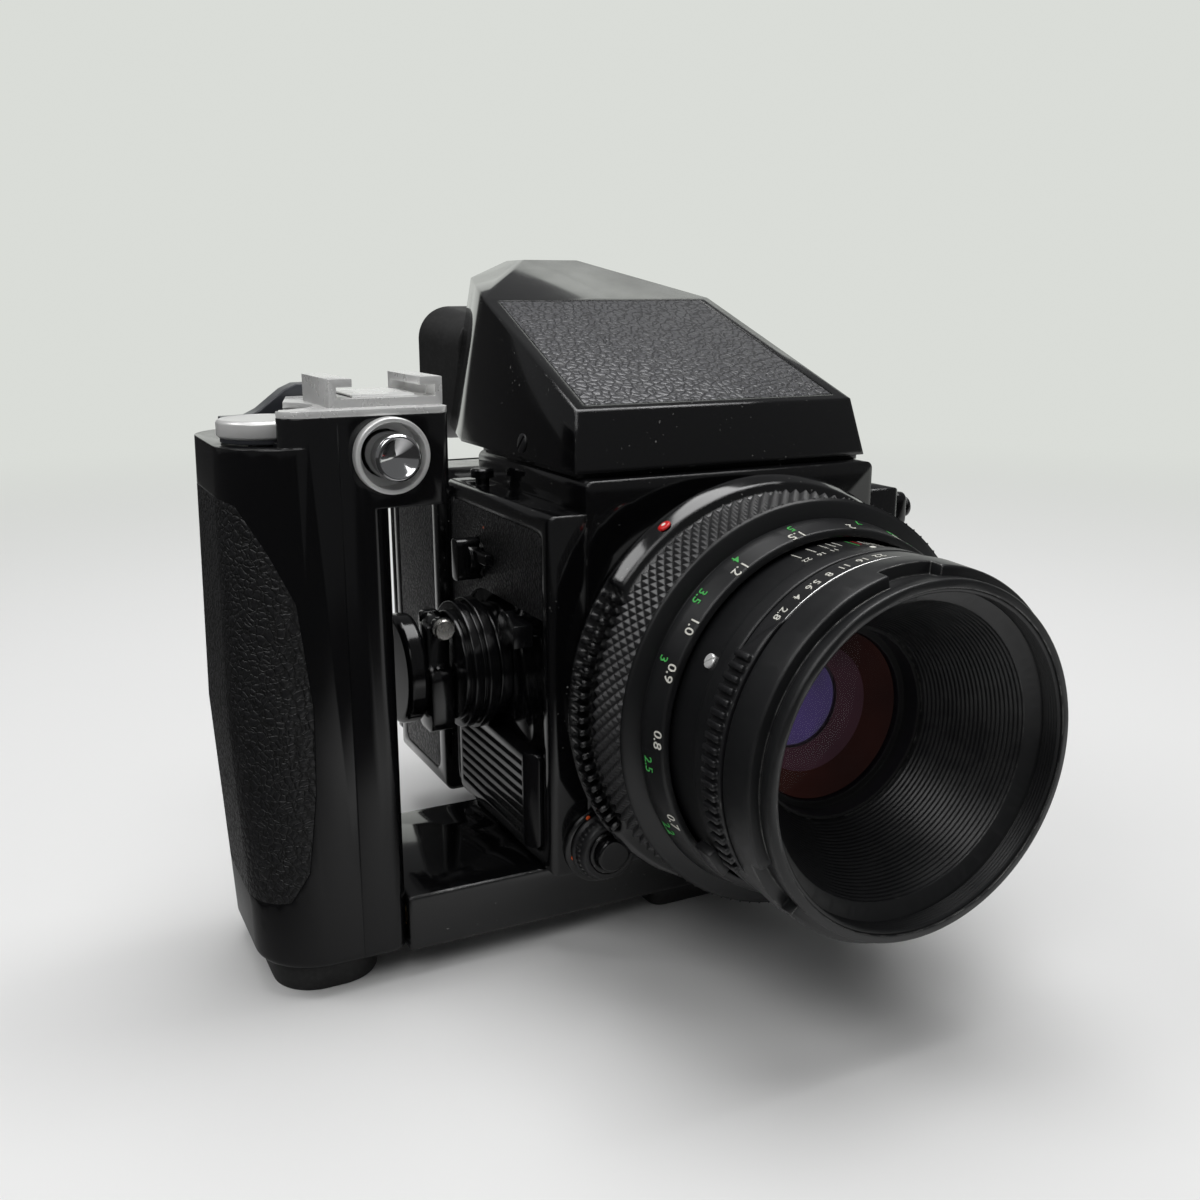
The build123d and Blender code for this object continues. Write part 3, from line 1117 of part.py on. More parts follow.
def grip_shells():
    """The grip's two shells, outer and inner, which meet on a seam across the handle."""
    outer = grip_form(0) + head_form(0) - wheel_room(FREE)
    room = grip_form(GRIP_WALL) + head_form(GRIP_WALL) - wheel_room(FREE + GRIP_WALL)
    solid = outer - room
    neck_end = GRIP_FRONT_Y + COLLAR_LENGTH + FREE
    solid -= rod_y(COLLAR_NECK_R, GRIP_FRONT_Y - 1, neck_end, RELEASE_X, RELEASE_Z)
    solid -= rod_z(SHAFT_R + RUN, GRIP_SHOULDER - 6, GRIP_SHOULDER + 1, WHEEL_X, WHEEL_Y)
    solid -= block(GRIP_INNER_X - GRIP_WALL - 1, GRIP_INNER_X + 1, ARM_Y0 + ARM_WALL, ARM_Y1 - ARM_WALL,
                   GRIP_BOTTOM + GRIP_WALL, ARM_TOP - ARM_WALL)
    solid -= grip_skin_form(-SKIN)
    left = solid & block(GRIP_OUTER_X - 5, GRIP_SEAM_X, -60, 60, 0, 140)
    right = solid & block(GRIP_SEAM_X, HEAD_RIGHT_X + 5, -60, 60, 0, 140)
    return left, right


def grip_skin_form(inset):
    """The leather wrap's outline: the handle's skin, left of a curved edge."""
    skin = grip_form(0) - grip_form(-inset)
    left = GRIP_OUTER_X - 5
    edge = make_face(Polyline(
        (left, SKIN_TOP_Z + 3), (GRIP_OUTER_X + 3, SKIN_TOP_Z), (SKIN_EDGE_X - 6, SKIN_TOP_Z - 9),
        (SKIN_EDGE_X - 2, SKIN_TOP_Z - 18), (SKIN_EDGE_X, SKIN_TOP_Z - 38),
        (SKIN_EDGE_X - 0.5, SKIN_TOP_Z - 55), (SKIN_EDGE_X - 2.5, SKIN_BOTTOM_Z + 7),
        (SKIN_EDGE_X - 6, SKIN_BOTTOM_Z + 1), (SKIN_EDGE_X - 11, SKIN_BOTTOM_Z), (left, SKIN_BOTTOM_Z),
        close=True))
    return skin & extrude(Plane.XZ * edge, amount=60, both=True)


def grip_leather():
    """The leather wrapped round the handle's palm side."""
    return grip_skin_form(SEAT - SKIN)


def gear(teeth, x, y, phase, bore):
    """A spur gear with straight-sided teeth and some backlash, on a vertical axis."""
    radius = GEAR_MODULE * teeth / 2
    root = radius - 1.15 * GEAR_MODULE
    tip = radius + 0.8 * GEAR_MODULE
    pitch = math.pi * GEAR_MODULE
    solid = Cylinder(root, GEAR_THICK)
    outline = Polyline((root - 0.5, -0.27 * pitch), (tip, -0.10 * pitch), (tip, 0.10 * pitch),
                       (root - 0.5, 0.27 * pitch), close=True)
    tooth = extrude(make_face(outline), amount=GEAR_THICK / 2, both=True)
    solid += [Rot(0, 0, phase + 360 / teeth * i) * tooth for i in range(teeth)]
    return Pos(x, y, GEAR_Z + GEAR_THICK / 2) * (solid - Cylinder(bore, 2 * GEAR_THICK))


def wind_lever():
    """The wind lever: a silver wheel on a dark hub, and an arm bent round behind the head."""
    z0 = GRIP_SHOULDER + FREE
    hub = rod_z(WHEEL_R - 0.5, z0, WHEEL_LOW, WHEEL_X, WHEEL_Y)
    cap = rod_z(WHEEL_R, WHEEL_LOW, WHEEL_TOP, WHEEL_X, WHEEL_Y)
    cap = chamfer(cap.edges().filter_by(GeomType.CIRCLE).sort_by(Axis.Z)[-1], 0.35)
    back = GRIP_FRONT_Y + HEAD_DEPTH + LEVER_CLEAR
    x1 = HEAD_LEFT_X - LEVER_CLEAR
    arm = block(x1 - LEVER_ARM_WIDTH, x1, WHEEL_Y, back + LEVER_WIDTH, z0, z0 + LEVER_THICK)
    bend = block(x1 - LEVER_ARM_WIDTH, LEVER_TIP_X, back, back + LEVER_WIDTH, z0, z0 + LEVER_THICK)
    pad_x = LEVER_TIP_X - LEVER_PAD
    pad = block(pad_x, LEVER_TIP_X, back, back + LEVER_WIDTH, z0, LEVER_PAD_TOP)
    pad -= beyond((pad_x, 0, LEVER_PAD_LOW), (LEVER_PAD_LOW - LEVER_PAD_TOP, 0, LEVER_PAD_RISE))
    solid = hub + cap + arm + bend + pad
    return solid - wheel_slot()


def wheel_slot():
    """The keyed hole in the wind lever's hub for the top of the shaft."""
    return rod_z(SHAFT_R, GRIP_SHOULDER, WHEEL_LOW - 0.5, WHEEL_X, WHEEL_Y)


def wind_shaft():
    """The long shaft down the handle, with the first gear at its foot."""
    shaft = rod_z(SHAFT_R - SEAT, GEAR_Z - 1.2, WHEEL_LOW - 0.7, WHEEL_X, WHEEL_Y)
    return shaft + gear(GEAR_1_TEETH, WHEEL_X, WHEEL_Y, GEAR_1_PHASE, SHAFT_R - 0.5)


def idler_gear():
    """The middle gear, which carries the drive from the handle into the base arm."""
    return gear(GEAR_2_TEETH, GEAR_2_X, 0, GEAR_2_PHASE, GEAR_STUD_R + RUN)


def coupling_gear():
    """The last gear, whose dog turns the camera's winding shaft from below."""
    dog = rod_z(DOG_R, GEAR_Z + GEAR_THICK, ARM_TOP + 1.8, GEAR_3_X, 0)
    dog += rod_z(DOG_R + 1.6, GEAR_Z + GEAR_THICK, GEAR_Z + GEAR_THICK + 0.4, GEAR_3_X, 0)
    return gear(GEAR_3_TEETH, GEAR_3_X, 0, GEAR_3_PHASE, GEAR_STUD_R + RUN) + dog


def grip_base():
    """The hollow base arm that runs from the handle to under the camera."""
    solid = block(GRIP_INNER_X, ARM_END_X, ARM_Y0, ARM_Y1, GRIP_BOTTOM, ARM_TOP)
    solid = soften(solid, 2.5, Axis.Z)
    solid += block(GRIP_INNER_X, GRIP_INNER_X + 5, ARM_Y0, ARM_Y1, GRIP_BOTTOM, ARM_TOP)
    solid -= block(GRIP_INNER_X - 5, GEAR_3_X + GEAR_3_R + 2, ARM_Y0 + ARM_WALL, ARM_Y1 - ARM_WALL,
                   GEAR_Z - 1.0, ARM_TOP - ARM_WALL)
    solid += rod_z(GEAR_STUD_R, GRIP_BOTTOM + 1, GEAR_Z + GEAR_THICK - 0.5, GEAR_3_X, 0)
    solid += rod_z(GEAR_STUD_R, GRIP_BOTTOM + 1, GEAR_Z + GEAR_THICK - 0.5, GEAR_2_X, 0)
    solid -= rod_z(DOG_R + RUN, ARM_TOP - ARM_WALL - 1, ARM_TOP + 1, GEAR_3_X, 0)
    solid -= rod_z(SCREW_R + RUN, 0, ARM_TOP + 1, 0, SCREW_Y)
    solid -= rod_z(SCREW_HEAD_R + FREE, 0, SCREW_HEAD_TOP + FREE, 0, SCREW_Y)
    return solid - rod_z(BUSH_R, 0, SOCKET_DEPTH + 2, 0, 0)


def mount_screw():
    """The coin-slotted screw under the base, which draws the grip up to the camera."""
    head = rod_z(SCREW_HEAD_R, SCREW_HEAD_LOW, SCREW_HEAD_TOP, 0, SCREW_Y)
    for i in range(RELEASE_FLUTES):
        a = math.radians(360 / RELEASE_FLUTES * i)
        x = SCREW_HEAD_R * math.cos(a)
        y = SCREW_Y + SCREW_HEAD_R * math.sin(a)
        head -= rod_z(FLUTE_R, 0, SCREW_HEAD_TOP + 1, x, y)
    head -= block(-SCREW_HEAD_R, SCREW_HEAD_R, SCREW_Y - 0.8, SCREW_Y + 0.8, 0, SCREW_HEAD_LOW + 1.6)
    return head + rod_z(SCREW_R, SCREW_HEAD_TOP, ARM_TOP + SCREW_REACH, 0, SCREW_Y)


def tripod_bush():
    """The steel bush with the tripod thread, let into the foot and the base."""
    solid = rod_z(BUSH_R - SEAT, 0, SOCKET_DEPTH + 1.6, 0, 0)
    return solid - rod_z(SOCKET_R, -1, SOCKET_DEPTH, 0, 0)


def grip_feet():
    """The foot under the camera and the rounded foot under the handle."""
    under_camera = block(-FOOT_HALF_X, FOOT_HALF_X, ARM_Y0 + 4, SCREW_Y - SCREW_HEAD_R - 1, 0, GRIP_BOTTOM)
    under_camera = soften(under_camera, 3.0, Axis.Z)
    under_camera -= rod_z(BUSH_R, -1, GRIP_BOTTOM + 1, 0, 0)
    x0 = GRIP_OUTER_X + GRIP_TAPER + 3
    under_handle = block(x0, GRIP_INNER_X - 4, ARM_Y0 + 3.5, ARM_Y1 - 4, 0, GRIP_BOTTOM)
    return [under_camera, soften(under_handle, 9.0, Axis.Z)]


def accessory_shoe():
    """The bright top plate of the head with the accessory shoe's base and folded rails."""
    z = HEAD_TOP + TOP_PLATE
    half = SHOE_WIDTH / 2
    y0 = SHOE_FRONT_Y
    y1 = SHOE_FRONT_Y + SHOE_LENGTH
    height = SHOE_BASE + SHOE_SLOT_H + SHOE_LIP
    plate = block(HEAD_LEFT_X, HEAD_RIGHT_X, GRIP_FRONT_Y, GRIP_FRONT_Y + HEAD_DEPTH, HEAD_TOP, z)
    plate = fillet(plate.edges().filter_by(Axis.Z).sort_by(Axis.X)[0:2], HEAD_CORNER)
    plate = fillet(plate.edges().filter_by(Axis.Z).sort_by(Axis.X)[-2:], HEAD_RIGHT_CORNER)
    plate -= wheel_room(FREE)
    solid = block(SHOE_X - half, SHOE_X + half, y0, y1, z, z + height)
    slot = block(SHOE_X - SHOE_SLOT_W / 2, SHOE_X + SHOE_SLOT_W / 2, y0 - 1, y1 - 1.6, z + SHOE_BASE,
                 z + SHOE_BASE + SHOE_SLOT_H)
    mouth = block(SHOE_X - SHOE_MOUTH_W / 2, SHOE_X + SHOE_MOUTH_W / 2, y0 - 1, y1 + 1,
                  z + SHOE_BASE, z + height + 1)
    return plate + (solid - slot - mouth)


def grip_release_collar():
    """The silver ring round the grip's release, with its dark guide tube behind."""
    y = GRIP_FRONT_Y
    solid = rod_y(RELEASE_R, y - RELEASE_RING_OUT, y, RELEASE_X, RELEASE_Z)
    solid = chamfer(solid.edges().filter_by(GeomType.CIRCLE).sort_by(Axis.Y)[0], 0.6)
    inner = RELEASE_R - RELEASE_RING_WALL
    solid -= rod_y(inner, y - RELEASE_RING_OUT - 1, y - RELEASE_FLOOR_OUT, RELEASE_X, RELEASE_Z)
    solid += rod_y(COLLAR_NECK_R - RUN, y, y + COLLAR_LENGTH, RELEASE_X, RELEASE_Z)
    return solid - rod_y(GRIP_BUTTON_R + RUN, y - 4, y + COLLAR_LENGTH - 1, RELEASE_X, RELEASE_Z)


def grip_release_button():
    """The polished dished release button on the grip."""
    y = GRIP_FRONT_Y
    front = y - GRIP_BUTTON_OUT
    solid = rod_y(GRIP_BUTTON_R, front, y + COLLAR_LENGTH - 1 - BUTTON_TRAVEL - FREE, RELEASE_X, RELEASE_Z)
    solid = chamfer(solid.edges().filter_by(GeomType.CIRCLE).sort_by(Axis.Y)[0], 0.4)
    return solid - Pos(RELEASE_X, front - DISH_R + 0.6, RELEASE_Z) * Sphere(DISH_R)


def build():
    """Every sub-part by its node name."""
    left_shell, right_shell = grip_shells()
    return {
        "body_casting": body_casting(),
        "front_boss": lens_boss(),
        "crank_side_cover": crank_side_cover(),
        "dial_side_cover": dial_side_cover(),
        "side_leather": body_leather() + back_skins(),
        "ribbed_battery_cover": ribbed_chest(),
        "battery": battery(),
        "reflex_mirror": reflex_mirror(),
        "focusing_screen": focusing_screen(),
        "strap_lug": strap_lug(),
        "release_lock_collar": release_collar(),
        "release_button": release_button(),
        "finder_release_button": top_button(),
        "crank_bezel": crank_bezel(),
        "crank_hub": crank_hub(),
        "crank_pin": crank_pin(),
        "crank_handle": crank_handle(),
        "crank_knob": crank_knob(),
        "multi_exposure_lever": exposure_lever(),
        "mirror_lockup_lever": paddle_lever(),
        "shutter_speed_dial": speed_dial(),
        "sync_socket": sync_socket(),
        "finder_housing": finder_housing(),
        "finder_leather": finder_leather(),
        "finder_prism": prism(),
        "eyepiece_lens": eyepiece_lens(),
        "eyecup": eyecup(),
        "film_back_shell": film_back_shell(),
        "film_insert": film_insert(),
        "supply_spool": spool(SPOOL_Z0),
        "takeup_spool": spool(SPOOL_Z1),
        "pressure_plate": pressure_plate(),
        "back_door": back_door(),
        "door_hinge_pin": door_hinge_pin(),
        "dark_slide": dark_slide(),
        "film_speed_dial": film_speed_dial(),
        "lens_rear_ring": rear_ring(),
        "focus_ring": focus_ring(),
        "focus_grip": focus_grip(),
        "lens_inner_barrel": inner_barrel(),
        "aperture_ring": aperture_ring(),
        "lens_front_barrel": front_barrel(),
        "lens_cell": lens_cell(),
        "lens_glasses": glasses(),
        "leaf_shutter": leaf_shutter(),
        "depth_preview_switch": depth_switch(),
        "grip_outer_shell": left_shell,
        "grip_inner_shell": right_shell,
        "grip_leather": grip_leather(),
        "grip_base": grip_base(),
        "grip_feet": grip_feet(),
        "tripod_bush": tripod_bush(),
        "mount_screw": mount_screw(),
        "wind_lever": wind_lever(),
        "wind_shaft": wind_shaft(),
        "idler_gear": idler_gear(),
        "coupling_gear": coupling_gear(),
        "accessory_shoe": accessory_shoe(),
        "grip_release_collar": grip_release_collar(),
        "grip_release_button": grip_release_button(),
    }


def write(pieces):
    """Writes one STEP file for each node."""
    os.makedirs("parts", exist_ok=True)
    for name, shape in pieces.items():
        if isinstance(shape, (list, tuple)):
            shape = Compound(children=[solid for piece in shape for solid in piece.solids()])
        export_step(shape, f"parts/{name}.step")
    print(len(pieces), "nodes written")


if __name__ == "__main__":
    write(build())
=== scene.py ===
# %% [markdown]
# # A medium format film camera with a side grip
# This lesson dresses a camera that was drawn in a CAD program. The drawing arrives as separate
# pieces, and each keeps its place. Some pieces only need a finish, and others are swapped for
# a richer piece that is modelled here with Blender's own tools.

# %% Imports and units
import json
import math

import bpy
from mathutils import Matrix, Vector

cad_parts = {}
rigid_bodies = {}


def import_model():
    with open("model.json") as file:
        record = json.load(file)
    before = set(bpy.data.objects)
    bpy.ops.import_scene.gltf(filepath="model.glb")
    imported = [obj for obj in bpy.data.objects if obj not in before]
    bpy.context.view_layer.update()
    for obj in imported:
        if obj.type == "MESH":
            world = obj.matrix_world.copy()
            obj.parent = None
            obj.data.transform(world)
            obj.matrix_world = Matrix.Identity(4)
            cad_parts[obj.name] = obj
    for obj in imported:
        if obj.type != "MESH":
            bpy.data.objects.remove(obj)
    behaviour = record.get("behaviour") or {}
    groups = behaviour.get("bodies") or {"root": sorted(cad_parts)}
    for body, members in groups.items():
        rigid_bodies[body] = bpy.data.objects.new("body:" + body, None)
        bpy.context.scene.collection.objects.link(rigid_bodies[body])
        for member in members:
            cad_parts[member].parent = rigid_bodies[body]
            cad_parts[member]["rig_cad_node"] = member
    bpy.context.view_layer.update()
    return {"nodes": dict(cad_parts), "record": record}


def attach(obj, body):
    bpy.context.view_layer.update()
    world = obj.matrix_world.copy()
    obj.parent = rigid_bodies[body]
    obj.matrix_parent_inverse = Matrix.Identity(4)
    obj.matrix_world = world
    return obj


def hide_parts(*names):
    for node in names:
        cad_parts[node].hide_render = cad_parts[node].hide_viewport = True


MM = 0.001
LENS_Z = 56.5
FRONT_Y = -25.5
print("lens axis at height", LENS_Z, "mm, body front at", FRONT_Y, "mm")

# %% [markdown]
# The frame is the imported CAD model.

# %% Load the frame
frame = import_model()
nodes = frame["nodes"]
print("pieces in the frame:", len(nodes))

# %% [markdown]
# Blender's operators act on whatever is selected, so each step starts from an empty
# selection. These helpers do that, open a mesh for editing, and hand a finished piece to the body
# it rides on. A modifier is applied as soon as it is added, so that the mesh holds what is
# seen.


# %% Selection helpers
def clear():
    """Leaves edit mode and selects nothing."""
    if bpy.context.object and bpy.context.object.mode != "OBJECT":
        bpy.ops.object.mode_set(mode="OBJECT")
    bpy.ops.object.select_all(action="DESELECT")


def pick(*pieces):
    """Selects these objects only; the first is the active one."""
    clear()
    for piece in pieces:
        piece.select_set(True)
    bpy.context.view_layer.objects.active = pieces[0]
    return pieces[0]


def settle(piece):
    """Moves an object's place, turn and size into its mesh."""
    pick(piece)
    bpy.ops.object.transform_apply(location=True, rotation=True, scale=True)
    return piece


def open_mesh(piece):
    """Enters edit mode with all of a mesh selected."""
    pick(piece)
    bpy.ops.object.mode_set(mode="EDIT")
    bpy.ops.mesh.select_all(action="SELECT")


def own_copy(piece):
    """A second object with a mesh of its own."""
    pick(piece)
    bpy.ops.object.duplicate()
    return bpy.context.object


def move_mesh(piece, place, turn):
    """Turns a mesh about the origin and moves it to a place in millimetres."""
    piece.data.transform(Matrix.Translation(Vector(place) * MM) @ turn)
    return piece


def weld(pieces, name):
    """Joins one or more objects into a named piece."""
    piece = pick(*pieces)
    if len(pieces) > 1:
        bpy.ops.object.join()
    piece.name = name
    piece.data.name = name
    return piece


def apply_all(piece):
    """Applies every modifier of a piece, in order."""
    pick(piece)
    for modifier in list(piece.modifiers):
        bpy.ops.object.modifier_apply(modifier=modifier.name)
    return piece


def cut_away(piece, cutter):
    """Takes a shape away from a piece."""
    cut = piece.modifiers.new("cut", "BOOLEAN")
    cut.operation = "DIFFERENCE"
    cut.object = cutter
    return apply_all(piece)


def thicken(piece, thickness):
    """Gives a sheet its thickness in millimetres, half to each side."""
    wall = piece.modifiers.new("thickness", "SOLIDIFY")
    wall.thickness = thickness * MM
    wall.offset = 0
    return apply_all(piece)


def smooth(piece, angle):
    """Shades a piece smooth, apart from edges sharper than an angle in degrees."""
    pick(piece)
    bpy.ops.object.shade_smooth_by_angle(angle=math.radians(angle))
    return piece


def box(centre, size):
    """A block to start a piece from, its centre and size in millimetres."""
    clear()
    bpy.ops.mesh.primitive_cube_add(size=1, location=Vector(centre) * MM)
    block = bpy.context.object
    block.scale = Vector(size) * MM
    return settle(block)


def mount(piece, body, material, replaces=()):
    """Gives a finished piece its material and its body, and hides the CAD nodes it stands for."""
    piece.data.materials.clear()
    piece.data.materials.append(material)
    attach(piece, body)
    if replaces:
        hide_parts(*replaces)
    print(piece.name, "has", len(piece.data.polygons), "faces")
    return piece


# %% [markdown]
# ## Finishes
# Every finish is built from nodes. The pattern comes from Object coordinates, which are metres
# in the camera's own frame, so a grain of half a millimetre really is half a millimetre.


# %% The start of a material
def new_material(name, colour, roughness, metallic=0.0):
    """A material with its main shader, its output and the object's coordinates."""
    material = bpy.data.materials.new(name)
    material.use_nodes = True
    tree = material.node_tree
    shader = tree.nodes["Principled BSDF"]
    shader.inputs["Base Color"].default_value = (*colour, 1)
    shader.inputs["Roughness"].default_value = roughness
    shader.inputs["Metallic"].default_value = metallic
    place = tree.nodes.new("ShaderNodeTexCoord")
    return material, tree, shader, place.outputs["Object"]


def add_node(tree, kind, **values):
    """Adds a node and sets its properties and input sockets by name."""
    node = tree.nodes.new(kind)
    for key, value in values.items():
        label = key.replace("_", " ")
        if hasattr(node, key):
            setattr(node, key, value)
        else:
            node.inputs[label].default_value = value
    return node


def noise(tree, place, scale, detail=3.0, rough=0.55):
    """A cloudy pattern; the scale is in patches per metre."""
    node = add_node(tree, "ShaderNodeTexNoise", Scale=scale, Detail=detail, Roughness=rough)
    tree.links.new(place, node.inputs["Vector"])
    return node.outputs["Fac"]


def remap(tree, value, low, high, out_low, out_high):
    """Stretches part of a pattern to a new range."""
    node = add_node(tree, "ShaderNodeMapRange", From_Min=low, From_Max=high, To_Min=out_low,
                    To_Max=out_high)
    tree.links.new(value, node.inputs["Value"])
    return node.outputs["Result"]


def two_colours(tree, value, first, second):
    """Blends two colours by a pattern."""
    node = add_node(tree, "ShaderNodeMix", data_type="RGBA", A=(*first, 1), B=(*second, 1))
    tree.links.new(value, node.inputs["Factor"])
    return node.outputs["Result"]


def combine(tree, operation, first, second):
    """Multiplies two patterns, or takes the larger one."""
    node = add_node(tree, "ShaderNodeMath", operation=operation)
    tree.links.new(first, node.inputs[0])
    tree.links.new(second, node.inputs[1])
    return node.outputs["Value"]


def mix_shaders(tree, share, first, second):
    """Blends two shaders by a share, where 1 is all of the second."""
    node = add_node(tree, "ShaderNodeMixShader")
    for socket, source in enumerate((share, first, second)):
        tree.links.new(source, node.inputs[socket])
    return node.outputs["Shader"]


def round_light(tree, shader, radius):
    """Lets light run round every sharp edge, as on a thick coat of paint; the radius in metres."""
    node = add_node(tree, "ShaderNodeBevel", samples=6, Radius=radius)
    tree.links.new(node.outputs["Normal"], shader.inputs["Normal"])


def add_bump(tree, shader, height, distance, strength=1.0):
    """Raises the surface by a pattern, on top of what shapes it already; the distance in metres."""
    node = add_node(tree, "ShaderNodeBump", Strength=strength, Distance=distance)
    tree.links.new(height, node.inputs["Height"])
    if shader.inputs["Normal"].links:
        tree.links.new(shader.inputs["Normal"].links[0].from_socket, node.inputs["Normal"])
    tree.links.new(node.outputs["Normal"], shader.inputs["Normal"])


def worn_edge(tree, place, radius, amount):
    """A mask that is bright where a sharp edge has rubbed bare, in patches."""
    geometry = add_node(tree, "ShaderNodeNewGeometry")
    rounded = add_node(tree, "ShaderNodeBevel", samples=4, Radius=radius)
    dot = add_node(tree, "ShaderNodeVectorMath", operation="DOT_PRODUCT")
    tree.links.new(geometry.outputs["Normal"], dot.inputs[0])
    tree.links.new(rounded.outputs["Normal"], dot.inputs[1])
    edge = remap(tree, dot.outputs["Value"], 0.97, 0.80, 0.0, 1.0)
    patches = remap(tree, noise(tree, place, 260, 5.0, 0.6), 0.62 - amount, 0.70 - amount, 0.0, 1.0)
    return combine(tree, "MULTIPLY", edge, patches)


# %% [markdown]
# The body is black enamel over aluminium: deep, glossy and a little smeared by fingers. On the
# sharpest edges the paint has rubbed thin. The Bevel node finds those edges, and a noise
# breaks the wear into patches.


# %% Enamel and other painted metals
def painted_metal(name, colour, rough_low, rough_high, coat, wear, grain=0.0, edge=0.5 * MM):
    """Black paint with finger smears and edges rubbed bare; grain and edge are lengths."""
    material, tree, shader, place = new_material(name, colour, rough_low)
    smear = remap(tree, noise(tree, place, 55, 4.0), 0.35, 0.7, rough_low, rough_high)
    tree.links.new(smear, shader.inputs["Roughness"])
    shader.inputs["Coat Weight"].default_value = coat
    shader.inputs["Coat Roughness"].default_value = 0.05
    round_light(tree, shader, edge)
    tree.links.new(shader.inputs["Normal"].links[0].from_socket, shader.inputs["Coat Normal"])
    if wear:
        mask = worn_edge(tree, place, 0.4 * MM, wear)
        colours = two_colours(tree, mask, colour, (0.30, 0.30, 0.29))
        tree.links.new(colours, shader.inputs["Base Color"])
        tree.links.new(mask, shader.inputs["Metallic"])
    if grain:
        add_bump(tree, shader, noise(tree, place, 5200, 2.0), grain)
    return material


def dusty(material):
    """Scatters small pale specks of dust over a painted finish."""
    tree = material.node_tree
    place = tree.nodes["Texture Coordinate"].outputs["Object"]
    specks = remap(tree, noise(tree, place, 1500, 0.0), 0.80, 0.84, 0.0, 0.5)
    patches = remap(tree, noise(tree, place, 70, 2.0), 0.5, 0.62, 0.0, 1.0)
    paint = tree.nodes["Principled BSDF"].inputs["Base Color"]
    mixed = add_node(tree, "ShaderNodeMix", data_type="RGBA", B=(0.45, 0.45, 0.43, 1))
    tree.links.new(combine(tree, "MULTIPLY", specks, patches), mixed.inputs["Factor"])
    tree.links.new(paint.links[0].from_socket, mixed.inputs["A"])
    tree.links.new(mixed.outputs["Result"], paint)
    return material


BARREL_BLACK = (0.0085, 0.0088, 0.0095)
GRAIN = 0.01 * MM
ENAMEL = dusty(painted_metal("black_enamel", (0.0030, 0.0030, 0.0034), 0.07, 0.17, 0.4, 0.02,
                             edge=1.1 * MM))
SATIN = painted_metal("satin_black", (0.010, 0.010, 0.011), 0.28, 0.40, 0.0, 0.02, GRAIN)
ANODISED = painted_metal("black_anodised", BARREL_BLACK, 0.30, 0.42, 0.0, 0.0, GRAIN)
WORN_BARREL = painted_metal("worn_barrel_black", BARREL_BLACK, 0.30, 0.42, 0.0, 0.16, GRAIN)
INNER = painted_metal("dead_black_inside", (0.003, 0.003, 0.0035), 0.58, 0.72, 0.0, 0.0, GRAIN)
print("finishes so far:", len(bpy.data.materials))

# %% [markdown]
# Chrome and satin steel are bare metal. Chrome is smooth with faint hazy wipe marks, and the
# satin parts are hazier. Blasted metal scatters light almost like paint, so the satin finishes
# are only partly metallic.


# %% Bare metals
def bare_metal(name, colour, rough_low, rough_high, metallic=1.0):
    """Metal with hazy patches."""
    material, tree, shader, place = new_material(name, colour, rough_low, metallic)
    haze = remap(tree, noise(tree, place, 140, 4.0), 0.3, 0.7, rough_low, rough_high)
    tree.links.new(haze, shader.inputs["Roughness"])
    return material


CHROME = bare_metal("chrome", (0.72, 0.72, 0.73), 0.05, 0.14)
SATIN_CHROME = bare_metal("satin_chrome", (0.86, 0.86, 0.85), 0.24, 0.32, metallic=0.5)
STEEL = bare_metal("satin_steel", (0.80, 0.80, 0.79), 0.32, 0.40, metallic=0.5)
BRASS = bare_metal("brass", (0.72, 0.54, 0.26), 0.22, 0.34)
DARK_STEEL = bare_metal("blackened_steel", (0.16, 0.16, 0.165), 0.25, 0.38)
MIRROR = bare_metal("mirror_silver", (0.88, 0.89, 0.90), 0.01, 0.02)
print("finishes so far:", len(bpy.data.materials))

# %% [markdown]
# A turned face, such as the head of the crank's pin, has circular tool marks. They are drawn as
# rings about the face's own centre, so a Mapping node first moves the pattern there. At scale 1
# a Wave texture's waves are 0.314 long, and that number turns a pitch into a scale.


# %% Turned metal
WAVE_LENGTH = 0.314


def turned_metal(name, colour, roughness, centre, axis, pitch, depth):
    """Metal with circular tool marks about an axis through a point; all lengths in metres."""
    material, tree, shader, place = new_material(name, colour, roughness, 1.0)
    move = add_node(tree, "ShaderNodeMapping")
    move.inputs["Location"].default_value = [-c for c in centre]
    tree.links.new(place, move.inputs["Vector"])
    rings = add_node(tree, "ShaderNodeTexWave", wave_type="RINGS", rings_direction=axis,
                     Scale=WAVE_LENGTH / pitch, Distortion=0.6)
    tree.links.new(move.outputs["Vector"], rings.inputs["Vector"])
    haze = remap(tree, noise(tree, place, 900, 2.0), 0.3, 0.7, roughness, roughness + 0.08)
    tree.links.new(haze, shader.inputs["Roughness"])
    add_bump(tree, shader, rings.outputs["Fac"], depth)
    return material


PIN_CENTRE = (-52.45 * MM, 0, 65.5 * MM)
PIN_HEAD = turned_metal("turned_pin_head", (0.80, 0.78, 0.74), 0.22, PIN_CENTRE, "Y",
                        0.16 * MM, 0.004 * MM)
print("tool marks on", PIN_HEAD.name)
